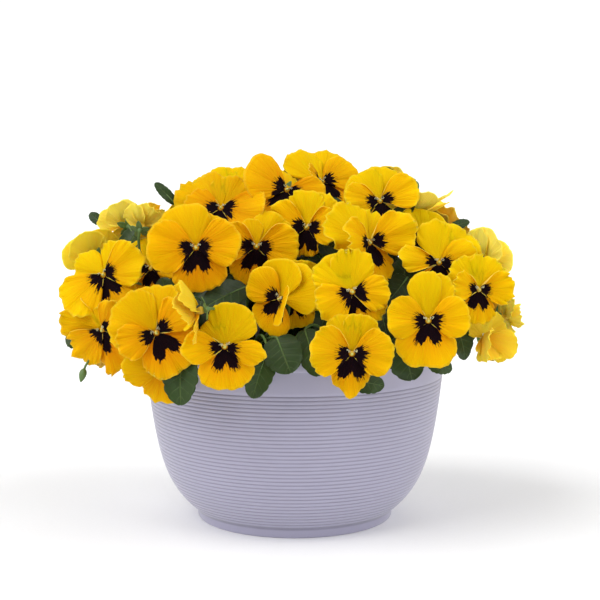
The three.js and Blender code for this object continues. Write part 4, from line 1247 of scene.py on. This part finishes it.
def petal_finish(settings):
    """Velvety pansy petal: thin soft tissue lets some light through, its papillae leave it
    matt, fine veins run out from the throat, and the near-black blotch ends in whiskers."""
    finish, tree = new_finish("velvet_pansy_petal")
    uv = put(tree, "UVMap", uv_map="Face")[0]
    far = put(tree, "SeparateXYZ", [uv])[1]
    reach, bright, under = numbers(tree, "mark")
    warm, tone, along = numbers(tree, "tint")
    # The edge of the blotch wanders by about 4 mm in some 58 streaks a turn, and less on the
    # lower petal.
    ragged = streaks(tree, uv, around=58, outward=3, detail=3)
    wander = put(tree, "Math", [ragged, 0.5], operation="SUBTRACT")[0]
    wildness = put(tree, "Math", [warm, -0.16, 0.27], **SCALED)[0]
    edge = put(tree, "Math", [wander, wildness, reach], **SCALED)[0]
    inside = put(tree, "Math", [edge, far], operation="SUBTRACT")[0]
    dark = put(tree, "Math", [inside, 260, 0], **CLAMPED)[0]
    # Whiskers: fine lines, some 125 a turn, that run 4 mm past it.
    hairs = streaks(tree, uv, around=125, outward=1.2, detail=1)
    thin = put(tree, "Math", [hairs, 16, -8.8], **CLAMPED)[0]
    room = put(tree, "Math", [reach, far], operation="SUBTRACT")[0]
    room = put(tree, "Math", [room, 40, 2], **CLAMPED)[0]
    whiskers = put(tree, "Math", [thin, room], operation="MULTIPLY")[0]
    whiskers = put(tree, "Math", [whiskers, 0.75], operation="MULTIPLY")[0]
    dark = put(tree, "Math", [dark, whiskers], operation="MAXIMUM")[0]
    # No blotch where a petal has none, in the pale throat itself, or on a petal's back.
    for value, slope, start in ((reach, 30, -1.65), (far, 90, -2.52), (under, -8, 7.4)):
        mask = put(tree, "Math", [value, slope, start], **CLAMPED)[0]
        dark = put(tree, "Math", [dark, mask], operation="MULTIPLY")[0]
    # Ground colour: warmer near the face, on the lower petals and along some veins, and the
    # last of the edge is thin and lighter.
    near = put(tree, "Math", [far, -2.1, 1], **CLAMPED)[0]
    veins = streaks(tree, uv, around=150, outward=2.2, detail=2)
    warmth = put(tree, "Math", [near, 0.75, 0.35], **SCALED)[0]
    warmth = put(tree, "Math", [warm, warmth], operation="MULTIPLY")[0]
    warmth = put(tree, "Math", [tone, 0.6, warmth], **SCALED)[0]
    warmth = put(tree, "Math", [veins, 0.5, warmth], **SCALED)[0]
    warmth = put(tree, "Math", [warmth, 0.46], operation="SUBTRACT", use_clamp=True)[0]
    rim = put(tree, "Math", [along, 9, -8.37], **CLAMPED)[0]
    rim = put(tree, "Math", [rim, 0.35], operation="MULTIPLY")[0]
    back = put(tree, "Math", [under, 0.75], operation="MULTIPLY")[0]
    # Painted shade: deeper colour in the throat and on petals that stand back; painted light:
    # lighter colour on those in the sun.
    depth = put(tree, "Math", [near, -0.2, 1], **SCALED)[0]
    depth = put(tree, "Math", [depth, bright], operation="MULTIPLY")[0]
    shade = put(tree, "Math", [1, depth], operation="SUBTRACT", use_clamp=True)[0]
    ground = layered(tree, settings.yellow[:], [
        (warmth, settings.orange[:]), (rim, colour("FFE04A")), (back, settings.pale[:]),
        (shade, colour("8A5A00"))])
    # Painted light: the colour is scaled up where the brightness mark is above 1.
    gain = put(tree, "Math", [depth, 1], operation="MAXIMUM")[0]
    ground = put(tree, "VectorMath", {0: ground, "Scale": gain}, operation="SCALE")[0]
    faced = layered(tree, ground, [(dark, settings.blotch[:])])
    # Veins stand about 0.15 mm proud, drawn a little coarser than life so that they show.
    folds = streaks(tree, uv, around=60, outward=3, detail=2)
    relief = put(tree, "Math", [veins, folds], operation="ADD")[0]
    bump = put(tree, "Bump", {"Height": relief, "Strength": 0.6, "Distance": 0.9 * MM})[0]
    close_finish(
        tree, faced, Roughness=0.65, Normal=bump, Specular_IOR_Level=0.04,
        Subsurface_Weight=0.45, Subsurface_Radius=(1.0, 0.6, 0.1), Subsurface_Scale=1.5 * MM)
    return finish


def small_finishes():
    """The throat's three: waxy ochre tissue with a slight gloss, the moist pale green bead of
    the style head, and dry matt cream hairs of the beard."""
    finishes = []
    for name, dark, light, grain, roughness in (
            ("waxy_throat", "D9A51E", "E9C93A", 1.11, 0.45),
            ("moist_style_head", "B4B552", "D8CF6A", 1.43, 0.35),
            ("cream_beard_hair", "E9E3A8", "F8F4D2", 0.667, 0.8)):
        finish, tree = new_finish(name)
        tones = mottle(tree, colour(dark), colour(light), grain)[0]
        close_finish(tree, tones, Roughness=roughness)
        finishes.append(finish)
    return finishes


def leaf_finish(settings):
    """Living pansy leaf: a waxy dark green face with sunken paler veins, a duller back."""
    finish, tree = new_finish("waxy_pansy_leaf")
    along, across, _ = put(tree, "SeparateXYZ", [put(tree, "UVMap", uv_map="Face")[0]])
    under, tone = numbers(tree, "mark")[2], numbers(tree, "tint")[0]
    side = put(tree, "Math", [across], operation="ABSOLUTE")[0]
    # Side veins leave the rib at even steps and lean towards the tip, in the leaf's furrows.
    slant = put(tree, "Math", [side, -0.2, along], **SCALED)[0]
    step = put(tree, "Math", [slant, LEAF_VEINS, 0.5], **SCALED)[0]
    step = put(tree, "Math", [step], operation="FRACT")[0]
    off = put(tree, "Math", [step, 0.5], operation="SUBTRACT")[0]
    off = put(tree, "Math", [off], operation="ABSOLUTE")[0]
    vein = put(tree, "Math", [off, -11, 1], **CLAMPED)[0]
    inner = put(tree, "Math", [side, -0.6, 0.6], **CLAMPED)[0]
    vein = put(tree, "Math", [vein, inner], operation="MULTIPLY")[0]
    rib = put(tree, "Math", [side, -16, 1], **CLAMPED)[0]
    line = put(tree, "Math", [vein, rib], operation="MAXIMUM")[0]
    # Cloudy green, about 18 mm from one patch to the next, and each leaf a tone of its own.
    place = put(tree, "TexCoord")["Object"]
    cloud = put(tree, "TexNoise", {
        "Vector": place, "Scale": per_metre(18.18), "Detail": 4.0, "Roughness": 0.6})["Fac"]
    shade = put(tree, "Math", [tone, 0.5, -0.2], **SCALED)[0]
    shade = put(tree, "Math", [cloud, 0.7, shade], **SCALED)[0]
    pale = put(tree, "Math", [line, 0.32], operation="MULTIPLY")[0]
    back = put(tree, "Math", [under, 0.55], operation="MULTIPLY")[0]
    green = layered(tree, colour("1F3012"), [
        (shade, settings.leaf[:]), (pale, colour("7C9550")), (back, colour("68804A"))])
    # The skin is pebbled about every 2.4 mm, coarser than life, so that it shows.
    pebble = put(tree, "TexNoise", {
        "Vector": place, "Scale": per_metre(2.38), "Detail": 2.0})["Fac"]
    relief = put(tree, "Math", [pebble, 0.4], operation="MULTIPLY")[0]
    relief = put(tree, "Math", [relief, line], operation="SUBTRACT")[0]
    bump = put(tree, "Bump", {"Height": relief, "Strength": 0.5, "Distance": 0.8 * MM})[0]
    close_finish(
        tree, green, Roughness=0.48, Normal=bump, Specular_IOR_Level=0.3,
        Subsurface_Weight=0.08, Subsurface_Radius=(0.4, 1.0, 0.2), Subsurface_Scale=2 * MM)
    return finish


def stem_finish(settings):
    """Fleshy stem and sepal: light green, streaked lengthwise, softly glossy."""
    finish, tree = new_finish("fleshy_green_stem")
    place = put(tree, "TexCoord")["Object"]
    fine, long = per_metre(2.38), per_metre(25)
    stretched = put(tree, "Mapping", {"Vector": place, "Scale": (fine, fine, long)})[0]
    noise = put(tree, "TexNoise", {"Vector": stretched, "Scale": 1.0, "Detail": 3.0})["Fac"]
    green = layered(tree, colour("466330"), [(noise, settings.stem[:])])
    bump = put(tree, "Bump", {"Height": noise, "Strength": 0.2, "Distance": 0.5 * MM})[0]
    close_finish(
        tree, green, Roughness=0.5, Normal=bump, Subsurface_Weight=0.08,
        Subsurface_Radius=(0.4, 1.0, 0.2), Subsurface_Scale=2 * MM)
    return finish


def plastic_finish(settings):
    """Moulded polypropylene: matt lavender grey with a faint grain from the mould, a cloudy
    variation in the pigment, and painted shade that darkens the grooves and the foot's step."""
    finish, tree = new_finish("moulded_polypropylene")
    darker, lighter, painted_shade = (
        tuple(np.array(settings.plastic) * (share, share, share, 1))
        for share in (0.93, 1.06, 0.62))
    pigment, cloud = mottle(tree, darker, lighter, grain=71.4, detail=4.0)
    # Painted shade: the groove mark darkens the plastic to 0.62 of its colour.
    pigment = layered(tree, pigment, [(numbers(tree, "tint")[0], painted_shade)])
    worn = put(tree, "MapRange", {
        "Value": cloud, "From Min": 0.3, "From Max": 0.7, "To Min": 0.46, "To Max": 0.56})[0]
    grain = put(tree, "TexNoise", {
        "Vector": put(tree, "TexCoord")["Object"], "Scale": per_metre(0.714),
        "Detail": 2.0})["Fac"]
    bump = put(tree, "Bump", {"Height": grain, "Strength": 0.12, "Distance": 0.3 * MM})[0]
    close_finish(
        tree, pigment, Roughness=worn, Normal=bump, Sheen_Weight=0.45, Sheen_Roughness=0.4)
    return finish


def peat_finish(settings):
    """Damp peat potting mix: dark brown fibres and crumbs about 4 mm long, matt."""
    finish, tree = new_finish("damp_peat_mix")
    brown, fibre = mottle(
        tree, colour("150E0A"), settings.soil[:], grain=3.85, detail=6.0, roughness=0.7)
    bump = put(tree, "Bump", {"Height": fibre, "Strength": 0.8, "Distance": 1.5 * MM})[0]
    close_finish(tree, brown, Roughness=0.92, Normal=bump)
    return finish


def paper_finish():
    """Backdrop paper: white, matt, with a very fine tooth."""
    finish, tree = new_finish("white_backdrop_paper")
    white = mottle(tree, colour("F3F3F3"), colour("F7F7F7"), grain=3.33)[0]
    close_finish(tree, white, Roughness=0.9)
    return finish


# Stage

# The backdrop in millimetres: its width, where it starts in front, its flat length, the radius
# of its bend and its height above that, and the steps of its mesh.
PAPER_WIDTH, PAPER_START, PAPER_FLAT, PAPER_BEND, PAPER_TALL = 9000, -2600, 4200, 900, 2600
PAPER_ROWS, PAPER_COLUMNS = 60, 20
# Each light's height and its azimuth from the camera in degrees: the key light to the left of
# the camera, and the fill light to the right.
LIGHTS = {"key": (46, -58), "fill": (40, 64)}
# The photograph's own camera: focal length and shift in pixels of its square side, and how far
# it looks down in degrees.
PHOTO_SIDE, FOCAL_PIXELS, SHIFT_PIXELS, LOOK_DOWN = 600, 1262, 5.2, 5.5
SENSOR = 36


def make_stage(settings):
    """The floor is one sheet that curves up behind: flat, then a quarter circle, then upright,
    placed along its length by arc."""
    bend = PAPER_BEND * math.pi / 2
    length = np.linspace(0, PAPER_FLAT + bend + PAPER_TALL, PAPER_ROWS)
    turn = np.clip((length - PAPER_FLAT) / PAPER_BEND, 0, math.pi / 2)
    y = PAPER_START + np.minimum(length, PAPER_FLAT) + PAPER_BEND * np.sin(turn)
    z = PAPER_BEND * (1 - np.cos(turn)) + np.maximum(length - PAPER_FLAT - bend, 0)
    x = np.linspace(-PAPER_WIDTH / 2, PAPER_WIDTH / 2, PAPER_COLUMNS)
    grid = np.stack(np.broadcast_arrays(x[None, :], y[:, None], z[:, None]), -1)
    surfaces = Surfaces()
    surfaces.add(grid.reshape(-1, 3), [grid_quads(PAPER_ROWS, PAPER_COLUMNS)[:, ::-1]])
    mesh = surfaces.mesh("floor")
    mesh.materials.append(paper_finish())
    floor = into_scene("floor", mesh)

    world = bpy.data.worlds.new("studio_air")
    bpy.context.scene.world = world
    world.use_nodes = True
    air = world.node_tree.nodes["Background"].inputs
    air[0].default_value = (1, 1, 1, 1)
    air[1].default_value = settings.air
    for name, (height, aside) in LIGHTS.items():
        light = bpy.data.lights.new(name, "SUN")
        light.energy, light.angle = getattr(settings, name + "_strength"), settings.key_spread
        lamp = into_scene(name, light)
        lamp.rotation_euler = (math.radians(90 - height), 0, math.radians(aside))
    # Plain sRGB, so that the hex colours above come out as written.
    bpy.context.scene.view_settings.view_transform = "Standard"

    camera = bpy.data.cameras.new("camera")
    camera.lens, camera.sensor_width = FOCAL_PIXELS * SENSOR / PHOTO_SIDE, SENSOR
    camera.shift_x = SHIFT_PIXELS / PHOTO_SIDE
    camera.clip_start, camera.clip_end = 0.05, 50
    eye = into_scene("camera", camera)
    eye.location = (0, -EYE_DISTANCE * MM, EYE_HEIGHT * MM)
    eye.rotation_euler = (math.radians(90 - LOOK_DOWN), 0, 0)
    bpy.context.scene.camera = eye


# Add-on
class PLANTER_OT_pot(bpy.types.Operator):
    """Make the ribbed bowl and its base with drain holes"""
    bl_idname = "planter.pot"
    bl_label = "Pot"

    def execute(self, context):
        make_pot(context.scene.planter_pot)
        return {"FINISHED"}


class PLANTER_OT_soil(bpy.types.Operator):
    """Fill the bowl with potting mix"""
    bl_idname = "planter.soil"
    bl_label = "Potting mix"

    def execute(self, context):
        make_soil(context.scene.planter_pot)
        return {"FINISHED"}


class PLANTER_OT_plants(bpy.types.Operator):
    """Grow the six plants: crowns, flower stems, sepals, leaves and buds"""
    bl_idname = "planter.plants"
    bl_label = "Plants"

    def execute(self, context):
        make_plants(context.scene.planter_plants)
        return {"FINISHED"}


class PLANTER_OT_blooms(bpy.types.Operator):
    """Open the blooms, each with five petals and its throat"""
    bl_idname = "planter.blooms"
    bl_label = "Blooms"

    def execute(self, context):
        make_blooms(context.scene.planter_blooms)
        return {"FINISHED"}


class PLANTER_OT_stage(bpy.types.Operator):
    """Set the floor, the lights and the camera"""
    bl_idname = "planter.stage"
    bl_label = "Stage"

    def execute(self, context):
        make_stage(context.scene.planter_stage)
        return {"FINISHED"}


OPERATORS = (
    PLANTER_OT_stage, PLANTER_OT_pot, PLANTER_OT_soil, PLANTER_OT_plants, PLANTER_OT_blooms)


class PLANTER_PT_panel(bpy.types.Panel):
    """Lists the planter's settings and the steps that make it"""
    bl_idname = "PLANTER_PT_panel"
    bl_label = "Planter"
    bl_space_type = "VIEW_3D"
    bl_region_type = "UI"
    bl_category = "Planter"

    def draw(self, context):
        for operator in OPERATORS:
            self.layout.operator(operator.bl_idname)
        for group in SETTINGS:
            box = self.layout.box()
            settings = getattr(context.scene, group)
            for name in settings.bl_rna.properties.keys():
                if name not in ("rna_type", "name"):
                    box.prop(settings, name)


SETTINGS = {
    "planter_pot": PotSettings, "planter_plants": PlantSettings,
    "planter_blooms": BloomSettings, "planter_stage": StageSettings}
CLASSES = (*SETTINGS.values(), *OPERATORS, PLANTER_PT_panel)


def register():
    for cls in CLASSES:
        bpy.utils.register_class(cls)
    for name, group in SETTINGS.items():
        setattr(bpy.types.Scene, name, bpy.props.PointerProperty(type=group))


def unregister():
    for name in SETTINGS:
        delattr(bpy.types.Scene, name)
    for cls in reversed(CLASSES):
        bpy.utils.unregister_class(cls)


def main():
    """Registers the add-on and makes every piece."""
    register()
    for operator in OPERATORS:
        group, name = operator.bl_idname.split(".")
        getattr(getattr(bpy.ops, group), name)()


if __name__ == "__main__":
    main()
